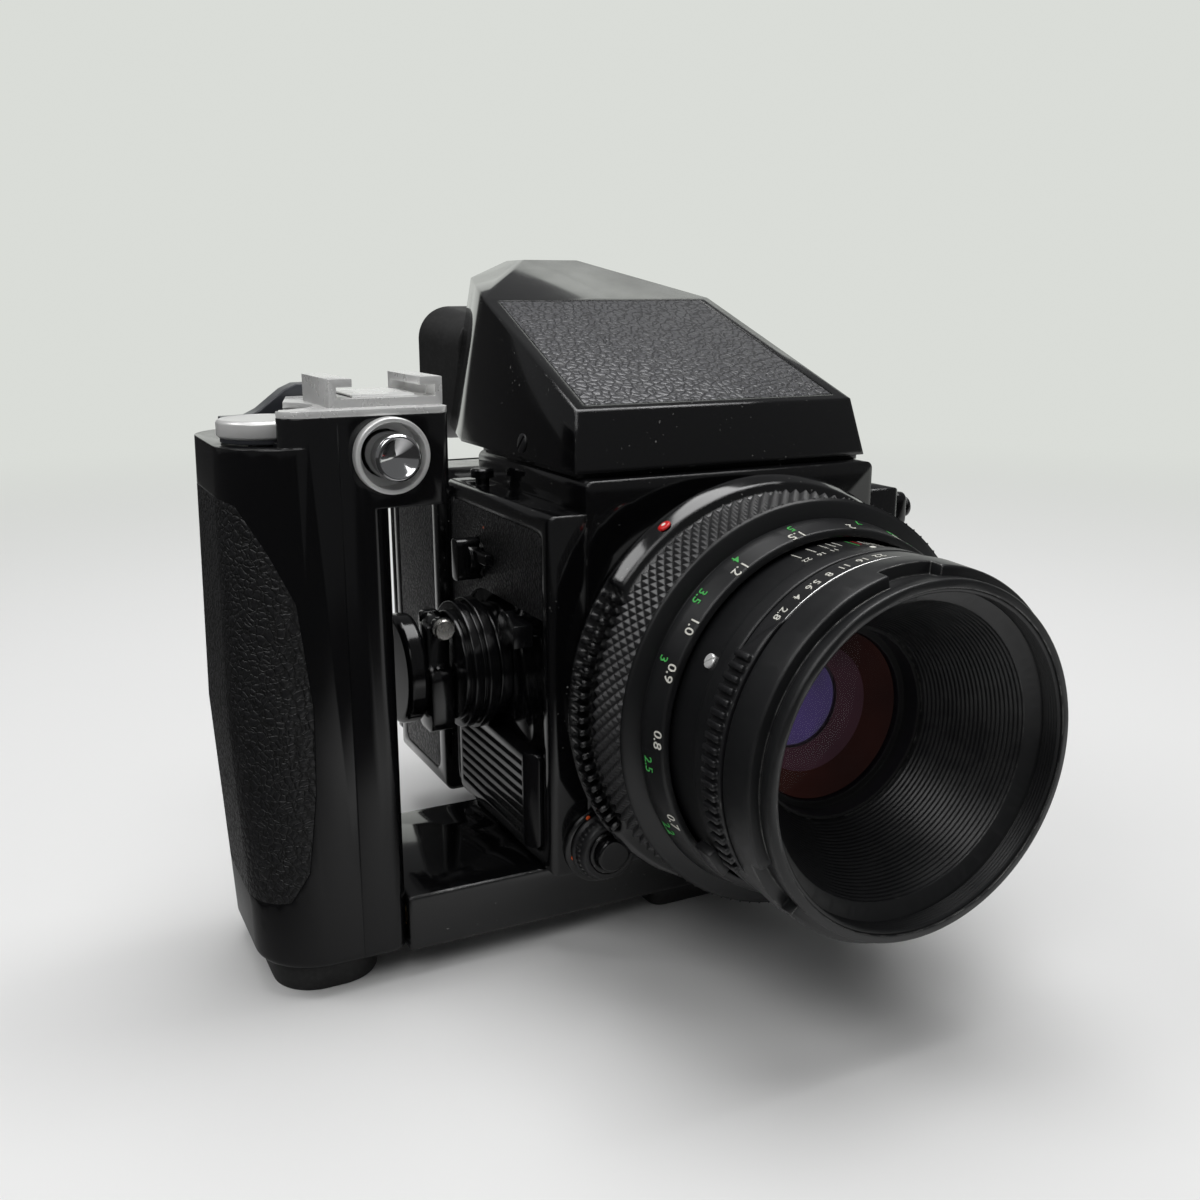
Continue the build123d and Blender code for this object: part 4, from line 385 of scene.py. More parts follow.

# %% [markdown]
# The leatherette has rounded pebbles of one to two millimetres with narrow creases between
# them. A Voronoi pattern gives the pebbles, its distance to the nearest crease gives their
# round tops, and a noise bends the pattern so that no two pebbles match. The creases are
# painted darker than the pebble tops: painted shade.


# %% Leather
def leather(name, cell, depth, light, crease_shade, rough_low, rough_high):
    """Pebbled leatherette with painted shade in its creases; the cell is the pebble size in metres.
    """
    material, tree, shader, place = new_material(name, crease_shade, rough_high)
    bend = add_node(tree, "ShaderNodeTexNoise", Scale=0.6 / cell, Detail=3.0)
    tree.links.new(place, bend.inputs["Vector"])
    shift = add_node(tree, "ShaderNodeVectorMath", operation="MULTIPLY_ADD")
    shift.inputs[1].default_value = (cell * 1.3,) * 3
    tree.links.new(bend.outputs["Color"], shift.inputs[0])
    tree.links.new(place, shift.inputs[2])
    pebbles = add_node(tree, "ShaderNodeTexVoronoi", feature="DISTANCE_TO_EDGE", Scale=1 / cell)
    tree.links.new(shift.outputs["Vector"], pebbles.inputs["Vector"])
    crease = remap(tree, pebbles.outputs["Distance"], 0.0, 0.16, 0.0, 1.0)
    crease.node.interpolation_type = "SMOOTHSTEP"
    # The creases take the darker colour: painted shade.
    tree.links.new(two_colours(tree, crease, crease_shade, light), shader.inputs["Base Color"])
    tree.links.new(remap(tree, crease, 0.0, 1.0, rough_high, rough_low), shader.inputs["Roughness"])
    add_bump(tree, shader, crease, depth)
    swell = remap(tree, pebbles.outputs["Distance"], 0.0, 0.5, 0.0, 1.0)
    add_bump(tree, shader, swell, depth * 2.0)
    add_bump(tree, shader, noise(tree, place, 2.6 / cell, 4.0), depth * 0.5, 0.8)
    return material


LEATHER = leather("leatherette", 1.1 * MM, 0.06 * MM,
                  (0.014, 0.014, 0.015), (0.004, 0.004, 0.004), 0.34, 0.55)
# The finder's leatherette is made much paler than the rest: a painted sheen for the ceiling light
# that its sloping top mirrors.
FINDER_LEATHER_PAINTED_SHEEN = leather("finder_leatherette_painted_sheen", 1.8 * MM, 0.09 * MM,
                         (0.085, 0.085, 0.092), (0.020, 0.020, 0.022), 0.28, 0.5)
GRIP_LEATHER = leather("grip_leatherette", 1.4 * MM, 0.08 * MM,
                       (0.010, 0.010, 0.011), (0.003, 0.003, 0.003), 0.34, 0.55)
print("leathers:", LEATHER.name, FINDER_LEATHER_PAINTED_SHEEN.name, GRIP_LEATHER.name)

# %% [markdown]
# Rubber and plastic scatter more light. Rubber gets dusty and dull in its fine grain, and the
# moulded plastic of the grip is glossy with long soft smears.


# %% Rubber and plastic
def moulded(name, colour, rough_low, rough_high, grain_scale, depth, dust=0.0):
    """Rubber, plastic or ink with a fine moulded grain, its depth in metres, and a little dust."""
    material, tree, shader, place = new_material(name, colour, rough_low)
    patches = noise(tree, place, 40, 5.0)
    tree.links.new(remap(tree, patches, 0.35, 0.7, rough_low, rough_high), shader.inputs["Roughness"])
    round_light(tree, shader, 0.4 * MM)
    if dust:
        paler = tuple(c + dust for c in colour)
        specks = remap(tree, noise(tree, place, 900, 4.0), 0.45, 0.75, 0.0, 1.0)
        tree.links.new(two_colours(tree, specks, colour, paler), shader.inputs["Base Color"])
    add_bump(tree, shader, noise(tree, place, grain_scale, 3.0), depth)
    return material


RUBBER = moulded("black_rubber", (0.012, 0.012, 0.012), 0.42, 0.56, 3500, 0.02 * MM, 0.010)
KNURL_RUBBER = moulded("knurled_rubber", (0.020, 0.020, 0.021), 0.34, 0.46, 3500, 0.01 * MM, 0.012)
PLASTIC = moulded("black_plastic", (0.009, 0.009, 0.010), 0.26, 0.38, 4000, 0.008 * MM)
GREY_PLASTIC = moulded("dark_grey_plastic", (0.050, 0.053, 0.062), 0.26, 0.36, 4000, 0.006 * MM)
GLOSS = moulded("gloss_plastic", (0.0035, 0.0035, 0.0040), 0.10, 0.20, 500, 0.002 * MM)
CAN = moulded("battery_can", (0.5, 0.5, 0.52), 0.25, 0.4, 900, 0.005 * MM)
WHITE_INK = moulded("white_ink", (0.80, 0.79, 0.72), 0.4, 0.55, 3000, 0.002 * MM)
GREEN_INK = moulded("green_ink", (0.07, 0.50, 0.10), 0.4, 0.55, 3000, 0.002 * MM)
RED_INK = moulded("red_ink", (0.60, 0.012, 0.012), 0.25, 0.35, 3000, 0.002 * MM)
ORANGE_INK = moulded("orange_ink", (0.80, 0.11, 0.02), 0.3, 0.4, 3000, 0.002 * MM)
print("finishes so far:", len(bpy.data.materials))

# %% [markdown]
# The focusing screen is ground glass, drawn with transmission. The lenses are clear, and there
# a mix of a transparent and a mirroring shader stays free of noise. Behind the front glass lie
# the faces of the inner glasses. Their dark tints of violet, mauve and dark red are painted
# reflections: each face glows with its own tint, whatever light falls on it.


# %% Glass
def glass(name, tint, rough):
    """Ground glass, which scatters what passes."""
    material, tree, shader, place = new_material(name, tint, rough)
    shader.inputs["Transmission Weight"].default_value = 1.0
    shader.inputs["IOR"].default_value = 1.5
    patches = noise(tree, place, 90, 3.0)
    tree.links.new(remap(tree, patches, 0.3, 0.8, rough, rough + 0.02), shader.inputs["Roughness"])
    return material


def painted_coating_glow(name, colour, edge):
    """Painted reflection: a glass face deep in the lens glows with its tint, changing in clouds."""
    material, tree, shader, place = new_material(name, (0.001, 0.001, 0.001), 0.3)
    shader.inputs["Specular IOR Level"].default_value = 0.0
    cloud = remap(tree, noise(tree, place, 45, 2.0), 0.35, 0.65, 0.0, 1.0)
    # The tint is emitted as a painted reflection, so the face shows it whatever light falls on it.
    tree.links.new(two_colours(tree, cloud, colour, edge), shader.inputs["Emission Color"])
    shader.inputs["Emission Strength"].default_value = 1.0
    return material


def clear_glass(name):
    """Coated glass: nearly all light passes straight through, and very little is mirrored."""
    material, tree, shader, place = new_material(name, (0.9, 0.9, 0.95), 0.02, 1.0)
    streaks = remap(tree, noise(tree, place, 90, 3.0), 0.3, 0.8, 0.01, 0.03)
    tree.links.new(streaks, shader.inputs["Roughness"])
    through = add_node(tree, "ShaderNodeBsdfTransparent")
    mirrored = add_node(tree, "ShaderNodeFresnel", IOR=1.09)
    mix = mix_shaders(tree, mirrored.outputs["Fac"], through.outputs["BSDF"], shader.outputs["BSDF"])
    tree.links.new(mix, tree.nodes["Material Output"].inputs["Surface"])
    return material


LENS_GLASS = clear_glass("clear_glass")
GROUND_GLASS = glass("ground_glass", (0.88, 0.89, 0.87), 0.5)
VIOLET = painted_coating_glow("violet_coating_painted_reflection", (0.036, 0.025, 0.080), (0.020, 0.018, 0.032))
MAUVE = painted_coating_glow("mauve_coating_painted_reflection", (0.022, 0.0095, 0.0135), (0.014, 0.0075, 0.0095))
DARK_RED = painted_coating_glow("dark_red_coating_painted_reflection", (0.0125, 0.0042, 0.0035), (0.0065, 0.0032, 0.0030))
print("finishes in all:", len(bpy.data.materials))

# %% [markdown]
# The CAD pieces that stay visible get their finish here. The record gives each of them a
# slot, and this table says which finish that slot wears. A few pieces have a finish of their own.

# %% Dress the CAD pieces
FINISHES = {
    "enamel": ENAMEL, "satin_black": SATIN, "lens_black": ANODISED, "inner_black": INNER,
    "grey_leather": LEATHER, "chrome": CHROME, "steel": STEEL, "brass": BRASS,
    "black_rubber": RUBBER, "black_plastic": PLASTIC, "gloss_black_plastic": GLOSS,
    "mirror_glass": MIRROR, "optical_glass": LENS_GLASS, "ground_glass": GROUND_GLASS,
    "battery_wrap": CAN, "blade_steel": DARK_STEEL,
}
SLOTS = {part["node"]: part["material_slot"] for part in frame["record"]["subparts"]}
BODIES = frame["record"]["behaviour"]["bodies"]
BODY_OF = {node: body for body, members in BODIES.items() for node in members}
OWN_FINISH = {
    "grip_leather": GRIP_LEATHER, "finder_leather": FINDER_LEATHER_PAINTED_SHEEN,
    "multi_exposure_lever": GLOSS, "mirror_lockup_lever": GLOSS,
    "accessory_shoe": SATIN_CHROME, "crank_pin": PIN_HEAD, "lens_front_barrel": WORN_BARREL,
    "lens_rear_ring": ENAMEL, "strap_lug": ENAMEL, "crank_bezel": GLOSS, "crank_hub": GLOSS,
    "depth_preview_switch": SATIN,
}


def finish_of(name):
    """The finish that a CAD piece wears."""
    return OWN_FINISH.get(name, FINISHES[SLOTS[name]])


for name, node in nodes.items():
    node.data.materials.clear()
    node.data.materials.append(finish_of(name))
print("dressed", len(nodes), "pieces")

# %% [markdown]
# ## Rounding the edges
# Real castings have no knife edges: paint and polishing leave each one slightly round, and
# that narrow round is what catches the light. A copy of the CAD piece is merged, its flat
# triangles are dissolved into whole faces, and a Bevel modifier rounds what is sharp.


# %% Rounded copies
def soft_edges(piece, width, segments=2, angle=35):
    """Rounds the sharp edges of a piece by a width in millimetres, and shades it smooth."""
    bevel = piece.modifiers.new("edges", "BEVEL")
    bevel.width = width * MM
    bevel.segments = segments
    bevel.limit_method = "ANGLE"
    bevel.angle_limit = math.radians(angle)
    bevel.use_clamp_overlap = True
    return smooth(apply_all(piece), 32)


def rounded_copy(name, width, cutter=None):
    """A copy of a CAD piece with its sharp edges rounded, which takes its place."""
    piece = own_copy(nodes[name])
    del piece["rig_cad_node"]
    piece.parent = None
    piece.name = name + "_rounded"
    piece.data.name = piece.name
    pick(piece)
    bpy.ops.mesh.customdata_custom_splitnormals_clear()
    open_mesh(piece)
    bpy.ops.mesh.remove_doubles(threshold=0.002 * MM)
    bpy.ops.mesh.dissolve_limited(angle_limit=math.radians(0.4))
    bpy.ops.object.mode_set(mode="OBJECT")
    if cutter:
        cut_away(piece, cutter)
    soft_edges(piece, width)
    return mount(piece, BODY_OF[name], finish_of(name), [name])


ROUNDED = {
    "finder_housing": 0.8, "body_casting": 0.45, "dial_side_cover": 0.6,
    "grip_inner_shell": 0.6, "grip_base": 0.4, "grip_feet": 0.6,
    "ribbed_battery_cover": 0.15, "crank_handle": 0.4, "multi_exposure_lever": 0.35,
    "mirror_lockup_lever": 0.35, "strap_lug": 0.25, "film_back_shell": 0.3, "back_door": 0.3,
    "dark_slide": 0.2, "front_boss": 0.3,
    "focus_ring": 0.15, "lens_front_barrel": 0.12, "eyecup": 0.6, "crank_bezel": 0.15,
    "crank_hub": 0.2, "finder_leather": 0.3, "grip_leather": 0.3, "side_leather": 0.25,
    "shutter_speed_dial": 0.12, "film_speed_dial": 0.15, "depth_preview_switch": 0.2,
    "sync_socket": 0.12, "mount_screw": 0.12,
}
for name, width in ROUNDED.items():
    rounded_copy(name, width)
print("rounded copies:", len(ROUNDED))

# %% [markdown]
# Behind the wind wheel the head of the grip is cut away on a slant, so that a thumb reaches the
# lever. The outer shell and the bright top plate are both cut with one wedge, a box with its
# corners moved, and a thin wall closes the shell along the cut.

# %% Slanted corner of the grip's head
CUT_FRONT = (-91.2, -17.2)
CUT_BACK = (-82.2, 16.5)
wedge = box((-90, 0, 115.5), (10, 33.7, 12.95))
for vertex in wedge.data.vertices:
    cut_x, cut_y = CUT_FRONT if vertex.co.y < 0 else CUT_BACK
    vertex.co.x = (cut_x if vertex.co.x > -90 * MM else -97.0) * MM
    vertex.co.y = cut_y * MM
rounded_copy("grip_outer_shell", 0.5, cutter=wedge)
rounded_copy("accessory_shoe", 0.2, cutter=wedge)
bpy.data.objects.remove(wedge)
slant = math.atan2(CUT_FRONT[0] - CUT_BACK[0], CUT_BACK[1] - CUT_FRONT[1])
wall = box((0, 0, 0), (1.0, 32.0, 4.6))
move_mesh(wall, (-86.2, -0.35, 111.2), Matrix.Rotation(slant, 4, "Z"))
soft_edges(wall, 0.2)
mount(wall, BODY_OF["grip_outer_shell"], finish_of("grip_outer_shell"))

# %% [markdown]
# The finder release, pressed right down, lands on the cover round the crank. A shallow dish in
# the cover takes its cap, so that the two never share a face.

# %% Dish under the finder release
RELEASE_SEAT = Vector((-38.6, 20.0, 93.0))
DISH_DEPTH = 0.15
clear()
bpy.ops.mesh.primitive_cylinder_add(vertices=48, radius=2.8 * MM, depth=2 * DISH_DEPTH * MM,
                                    location=RELEASE_SEAT * MM)
dish_cutter = settle(bpy.context.object)
rounded_copy("crank_side_cover", 0.3, cutter=dish_cutter)
bpy.data.objects.remove(dish_cutter)

# %% [markdown]
# ## Pieces from the lathe
# Most of the lens is turned. A single point is merged out of a small plane, extruded along the
# outline of the ring's wall, and that closed outline is spun about the lens axis. The seam and
# any pole are merged, so the piece is closed. What a plain lathe can't do, such as a row of bars
# or a raised stretch, comes from copies turned about the axis or from vertices moved out from it.


# %% Lathe
def turned(name, outline, axis="Y", centre=(0, 0, LENS_Z), steps=144):
    """A closed outline of (radius, place along the axis) points spun about an axis."""
    along = Vector((axis == "X", axis == "Y", axis == "Z"))
    out = Vector((0, 0, 1)) if axis == "X" else Vector((1, 0, 0))
    points = [(Vector(centre) + out * radius + along * place) * MM for radius, place in outline]
    clear()
    bpy.ops.mesh.primitive_plane_add(size=MM, location=points[0])
    piece = bpy.context.object
    bpy.ops.object.mode_set(mode="EDIT")
    bpy.ops.mesh.select_all(action="SELECT")
    bpy.ops.mesh.merge(type="CENTER")
    for here, there in zip(points, points[1:] + points[:1]):
        bpy.ops.mesh.extrude_region_move(TRANSFORM_OT_translate={"value": there - here})
    bpy.ops.mesh.select_all(action="SELECT")
    bpy.ops.mesh.spin(steps=steps, angle=math.tau, center=Vector(centre) * MM, axis=along)
    bpy.ops.mesh.select_all(action="SELECT")
    bpy.ops.mesh.remove_doubles(threshold=0.002 * MM)
    bpy.ops.mesh.delete_loose()
    bpy.ops.mesh.select_all(action="SELECT")
    bpy.ops.mesh.normals_make_consistent(inside=False)
    bpy.ops.object.mode_set(mode="OBJECT")
    piece.name = name
    piece.data.name = name
    return settle(piece)


def lens_turned(name, outline, steps=144):
    """A lathe piece on the lens axis; places are distances in front of the body."""
    return turned(name, [(radius, FRONT_Y - out) for radius, out in outline], steps=steps)


def around(piece, angle, centre, axis):
    """A copy of a piece, turned about a point in millimetres."""
    copy = own_copy(piece)
    spot = Matrix.Translation(Vector(centre) * MM)
    copy.data.transform(spot @ Matrix.Rotation(math.radians(angle), 4, axis) @ spot.inverted())
    return copy


def two_rows(piece, middle, count, pitch):
    """Copies of a piece in a row on each side of the lens; the angles are in degrees."""
    copies = []
    for side in (middle, middle + 180):
        for step in range(count):
            angle = side + (step - (count - 1) / 2) * pitch
            copies.append(around(piece, -angle, (0, 0, LENS_Z), "Y"))
    bpy.data.objects.remove(piece)
    return copies


def lens_place(vertex):
    """Across, up, distance from the lens axis and distance in front of the body, in mm."""
    x, z = vertex.co.x / MM, vertex.co.z / MM - LENS_Z
    return x, z, math.hypot(x, z), FRONT_Y - vertex.co.y / MM


def set_radius(vertex, radius):
    """Moves a vertex straight out from the lens axis, or in, to a radius in millimetres."""
    x, z, old_radius, out = lens_place(vertex)
    vertex.co.x *= radius / old_radius
    vertex.co.z = (LENS_Z + z * radius / old_radius) * MM


# %% [markdown]
# ## The rear ring of the lens
# The enamelled ring at the back has a rounded shoulder, and on both sides a row of small bars
# to hold it by while the lens is put on. The ring is lowered there, which makes the pockets
# between the bars. One bar is a box with rounded edges, and its copies are turned about the axis.

# %% Rear ring with its bars
rear_ring = lens_turned("rear_ring_body", [
    (23.6, -2.5), (26.6, -2.5), (26.6, 9.2), (42.7, 9.2), (43.3, 9.5), (43.5, 10.1), (43.5, 10.6),
    (43.1, 11.4), (42.35, 13.6), (42.1, 14.0), (40.3, 14.4), (40.3, 15.2), (37.0, 15.2), (37.0, 25.4),
    (34.7, 25.4), (34.7, 11.8), (23.6, 11.8)], 240)
POCKET_RADIUS = 41.0
POCKET_BACK = 10.4
POCKET_HALF_ANGLE = 34.6
for vertex in rear_ring.data.vertices:
    x, z, radius, out = lens_place(vertex)
    from_side = abs(math.degrees(math.atan2(abs(x), z)) - 90)
    if radius > 41.5 and from_side < POCKET_HALF_ANGLE and out > POCKET_BACK:
        set_radius(vertex, POCKET_RADIUS)
soft_edges(rear_ring, 0.12, 2, 30)
ring_bar = box((0, FRONT_Y - 12.75, LENS_Z + 42.2), (1.15, 4.7, 2.4))
ring_bars = two_rows(soft_edges(ring_bar, 0.3, 3), 90, 21, 3.25)
rear_ring = weld([rear_ring] + ring_bars, "rear_ring_dressed")
mount(rear_ring, "camera", ENAMEL, ["lens_rear_ring"])
print("bars:", len(ring_bars))

# %% [markdown]
# ## The knurled rubber grip
# The focusing grip is covered with rows of small four-sided points. A finely divided ring has a
# vertex at the tip and at the corners of each point. Every second vertex is raised, like the
# black squares of a chessboard, and each face is then split along its shorter diagonal.

# %% Knurled focus grip
COLUMNS = 216
ROWS = 7
GRIP_BACK = 15.5
GRIP_WIDTH = 11.0
GRIP_INSIDE = 39.0
VALLEY_RADIUS = 40.25
TIP_RADIUS = 41.15
surface = [(VALLEY_RADIUS, GRIP_BACK + GRIP_WIDTH * row / ROWS) for row in range(ROWS + 1)]
inside = [(GRIP_INSIDE, GRIP_BACK + GRIP_WIDTH), (GRIP_INSIDE, GRIP_BACK)]
grip_ring = lens_turned("knurled_focus_grip", inside + surface, COLUMNS)
tips = 0
for vertex in grip_ring.data.vertices:
    x, z, radius, out = lens_place(vertex)
    if radius > 40:
        column = round(math.degrees(math.atan2(z, x)) * COLUMNS / 360)
        row = round((out - GRIP_BACK) * ROWS / GRIP_WIDTH)
        if (column + row) % 2:
            set_radius(vertex, TIP_RADIUS)
            tips += 1
open_mesh(grip_ring)
bpy.ops.mesh.quads_convert_to_tris(quad_method="SHORTEST_DIAGONAL")
bpy.ops.object.mode_set(mode="OBJECT")
mount(grip_ring, "focusing", KNURL_RUBBER, ["focus_grip"])
print("knurled points:", tips)

# %% [markdown]
# ## Inner barrel and aperture ring
# In front of the distance scale the barrel steps down, and a raised band carries the index dot.
# The aperture ring runs on in the same line. Its number band is low, and the two finger grips
# stand up from it: their ends run out slantwise, which gives the long curl of light at the end
# of the teeth. The slant is made by raising the vertices of a finely divided ring. Its angles
# are in degrees round the lens.

# %% Inner barrel with its raised index band
inner_barrel = lens_turned("index_barrel", [
    (32.2, 15.0), (33.9, 15.0), (33.9, 41.0), (34.35, 41.3), (34.4, 45.2), (34.2, 45.4), (32.0, 45.4),
    (32.0, 51.05), (29.65, 51.05), (29.65, 38.0), (32.2, 38.0)])
soft_edges(inner_barrel, 0.1)
mount(inner_barrel, "lens_front", ANODISED, ["lens_inner_barrel"])


# %% Aperture ring with slanted grip ends
RING_BACK = 45.7
RING_FRONT = 50.8
GRIP_START, START_SLANT = 40, 12
GRIP_END, END_SLANT = 124, 8
RAMP = 4


def grip_rise(angle, out):
    """How far the ring is raised at a place, from 0 on the number band to 1 on a grip."""
    depth = (RING_FRONT - out) / (RING_FRONT - RING_BACK)
    start = GRIP_START + START_SLANT * depth
    end = GRIP_END - END_SLANT * depth
    half_turn = angle % 180
    rise = min((half_turn - start) / RAMP, (end - half_turn) / RAMP, 1)
    rise = max(rise, 0)
    return rise * rise * (3 - 2 * rise)


GRIP_HEIGHT = 0.62
EDGE_DROP = 0.12
bands = [RING_BACK, 45.85, 46.6, 47.4, 48.2, 49.0, 49.8, 50.65, RING_FRONT]
inside = [(32.06, RING_FRONT), (32.06, RING_BACK)]
aperture = lens_turned("aperture_ring_body", inside + [(34.25, out) for out in bands], 240)
for vertex in aperture.data.vertices:
    x, z, radius, out = lens_place(vertex)
    if radius > 34:
        drop = 0.0 if RING_BACK + 0.1 < out < RING_FRONT - 0.1 else EDGE_DROP
        rise = GRIP_HEIGHT * grip_rise(math.degrees(math.atan2(-x, z)), out)
        set_radius(vertex, radius - drop + rise)
smooth(aperture, 40)

# %% [markdown]
# The teeth of the grips are made like the bars of the rear ring: one block with rounded edges,
# copied along two rows.

# %% Teeth of the aperture ring's grips
tooth = soft_edges(box((0, FRONT_Y - 48.25, LENS_Z + 35.1), (1.15, 4.1, 1.4)), 0.28)
teeth = two_rows(tooth, 88, 20, 3.4)
aperture = weld([aperture] + teeth, "aperture_ring_dressed")
mount(aperture, "aperture", SATIN, ["aperture_ring"])
print("teeth:", len(teeth))

# %% [markdown]
# A thin bright line closes the number band at its front. It is a painted highlight of the band's
# front edge: a narrow ring of pale bare metal, let into the corner.

# %% Bright line, a painted highlight
line = lens_turned("aperture_edge_painted_highlight", [
    (34.0, 50.35), (34.3, 50.4), (34.34, 50.48), (34.3, 50.56), (34.0, 50.6)], 288)
# The pale metal ring stands in for the light on the band's edge: a painted highlight.
mount(line, "aperture", SATIN_CHROME)

# %% [markdown]
# Inside the front edge runs the fine thread for filters. Its grooves are turned as rings, and
# each crest catches a thin line of light.

# %% Filter thread
THREAD_PITCH = 0.62
crests = []
for turn in range(6):
    out = 61.6 - turn * THREAD_PITCH
    crests += [(30.55, out), (30.2, out - THREAD_PITCH / 2)]
thread = lens_turned("filter_thread", [(30.97, 61.7)] + crests + [(30.97, 57.9)], 128)
soft_edges(thread, 0.03, 1)
mount(thread, "lens_front", ANODISED)

# %% [markdown]
# ## Numbers on the lens
# Each number is a text object with a very small thickness. It is made a mesh, and then wrapped
# on the ring: a step along the writing becomes a turn about the lens axis.


# %% Ink helpers
CAPITAL_SHARE = 0.70
STROKE_GAIN = 0.013


def ink(text, height):
    """A thin mesh of a number, lying flat, with its capital height in millimetres."""
    clear()
    bpy.ops.object.text_add(location=(0, 0, 0))
    piece = bpy.context.object
    piece.data.body = text
    piece.data.size = height * MM / CAPITAL_SHARE
    piece.data.extrude = 0.03 * MM
    piece.data.offset = STROKE_GAIN * height * MM
    piece.data.align_x = "CENTER"
    piece.data.align_y = "CENTER"
    piece.data.resolution_u = 4
    bpy.ops.object.convert(target="MESH")
    piece = bpy.context.object
    open_mesh(piece)
    bpy.ops.mesh.remove_doubles(threshold=0.001 * MM)
    bpy.ops.object.mode_set(mode="OBJECT")
    return piece


def bar(width, length):
    """A thin line mark, lying flat, with slightly rounded edges."""
    return soft_edges(box((0, 0, 0), (width, length, 0.06)), 0.015, 1)


def wrap(piece, angle, out, radius, slope=0.0):
    """Bends a flat mark round the lens, its top towards the front; the slope is the cone's."""
    for vertex in piece.data.vertices:
        u, v, w = (c / MM for c in vertex.co)
        turn = math.radians(angle) + u / radius
        tall = radius + w + slope * v
        x, z = -tall * math.sin(turn), LENS_Z + tall * math.cos(turn)
        vertex.co = Vector((x, FRONT_Y - out - v, z)) * MM
    return piece


def lay(piece, place, reading, up):
    """Lays a flat mark on a plane: its centre, its reading direction and its upward direction."""
    reading, up = Vector(reading).normalized(), Vector(up).normalized()
    turn = Matrix((reading, up, reading.cross(up))).transposed().to_4x4()
    return move_mesh(piece, place, turn)


def facing(normal):
    """The turn that makes a piece that stands upright face a direction."""
    return Vector(normal).to_track_quat("Z", "Y").to_matrix().to_4x4()


def stamp(marks, name, body, material):
    """Joins finished marks into one inked piece."""
    piece = weld(marks, name)
    open_mesh(piece)
    bpy.ops.mesh.normals_make_consistent(inside=False)
    bpy.ops.object.mode_set(mode="OBJECT")
    return mount(piece, body, material)


# %% [markdown]
# The distance scale has metres in white next to its front edge and feet in green behind them.
# The band is a slight cone, so its radius falls towards the front.

# %% Distance scale
METRES = {"10": -47, "5": -37.5, "3": -24, "2": -6.5, "1.5": 12.5, "1.2": 33, "1.0": 54.5,
          "0.9": 69, "0.8": 88.5, "0.7": 115, "∞": -57}
FEET = {"30": -46, "15": -35, "10": -26, "7": -12, "5": 11.5, "4": 31, "3.5": 46, "3": 66,
        "2.5": 97, "2.2": 119}
CONE = -0.2
metres = [wrap(ink(text, 2.05), angle, 32.5, 36.54, CONE) for text, angle in METRES.items()]
stamp(metres, "distance_metres", "focusing", WHITE_INK)
feet = [wrap(ink(text, 1.9), angle, 29.8, 37.08, CONE) for text, angle in FEET.items()]
stamp(feet, "distance_feet", "focusing", GREEN_INK)

# %% [markdown]
# The depth of field scale stands still. Its lines spread in pairs from the index, one pair for
# each aperture, and the numbers stand in front of them.

# %% Depth of field scale and index
DEPTHS = {"22": 20.2, "16": 14.7, "11": 10.1, "8": 7.4, "5.6": 5.1}
INDEX = -3.2
BARREL_RADIUS = 33.92
LINE_WIDTH = 0.22
white = []
for text, spread in DEPTHS.items():
    for side in (-1, 1):
        angle = INDEX + side * spread
        white.append(wrap(bar(LINE_WIDTH, 3.2), angle, 35.4, BARREL_RADIUS))
        if text in ("22", "16", "11"):
            white.append(wrap(ink(text, 1.25), angle, 38.6, BARREL_RADIUS))
stamp(white, "depth_of_field_marks", "lens_front", WHITE_INK)
green_line = wrap(bar(LINE_WIDTH, 4.4), INDEX, 36.0, BARREL_RADIUS)
stamp([green_line], "index_line", "lens_front", GREEN_INK)
red_line = wrap(bar(LINE_WIDTH, 3.2), INDEX - 2.4, 35.4, BARREL_RADIUS)
stamp([red_line], "infrared_line", "lens_front", RED_INK)


# %% [markdown]
# Dots are small flat domes, turned on the lathe and pressed into the surface.

# %% Dots
def dot(radius, place, normal, rise=0.12):
    """A low dome at a place, facing a direction."""
    outline = [(radius * math.cos(t), rise * math.sin(t)) for t in (0, 0.4, 0.8, 1.2)]
    outline += [(0, rise), (0, -0.3), (radius, -0.3)]
    piece = turned("dot", outline, "Z", (0, 0, 0), 24)
    return smooth(move_mesh(piece, place, facing(normal)), 50)


def on_lens(angle, out, radius):
    """A place on the lens and the outward direction there."""
    turn = math.radians(angle)
    outward = Vector((-math.sin(turn), 0, math.cos(turn)))
    return Vector((0, FRONT_Y - out, LENS_Z)) + outward * radius, outward


MOUNT_DOT = (34.3, 12.3)
stamp([dot(0.62, *on_lens(INDEX, 42.0, 34.36))], "index_dot", "lens_front", WHITE_INK)
stamp([dot(1.35, *on_lens(*MOUNT_DOT, 42.95), 0.3)], "mount_dot", "camera", RED_INK)
stamp([dot(0.5, *on_lens(*MOUNT_DOT, 43.2))], "mount_dot_centre", "camera", WHITE_INK)

# %% [markdown]
# The aperture numbers stand on the low band of the aperture ring.

# %% Aperture numbers
STOPS = {"2.8": 40, "4": 33, "5.6": 27, "8": 21, "11": 15.5, "16": 9, "22": 3}
stops = [wrap(ink(text, 1.65), angle, 48.3, 34.29) for text, angle in STOPS.items()]
stamp(stops, "aperture_numbers", "aperture", WHITE_INK)
stamp([wrap(ink("A", 1.7), 137.5, 48.0, 34.27)], "automatic_mark", "aperture", GREEN_INK)


# %% [markdown]
# ## Screws
# A slotted screw head is turned as a low dome, and a thin box is taken away from it with a
# Boolean modifier. One function makes every size, so each screw has its own turn of the slot.

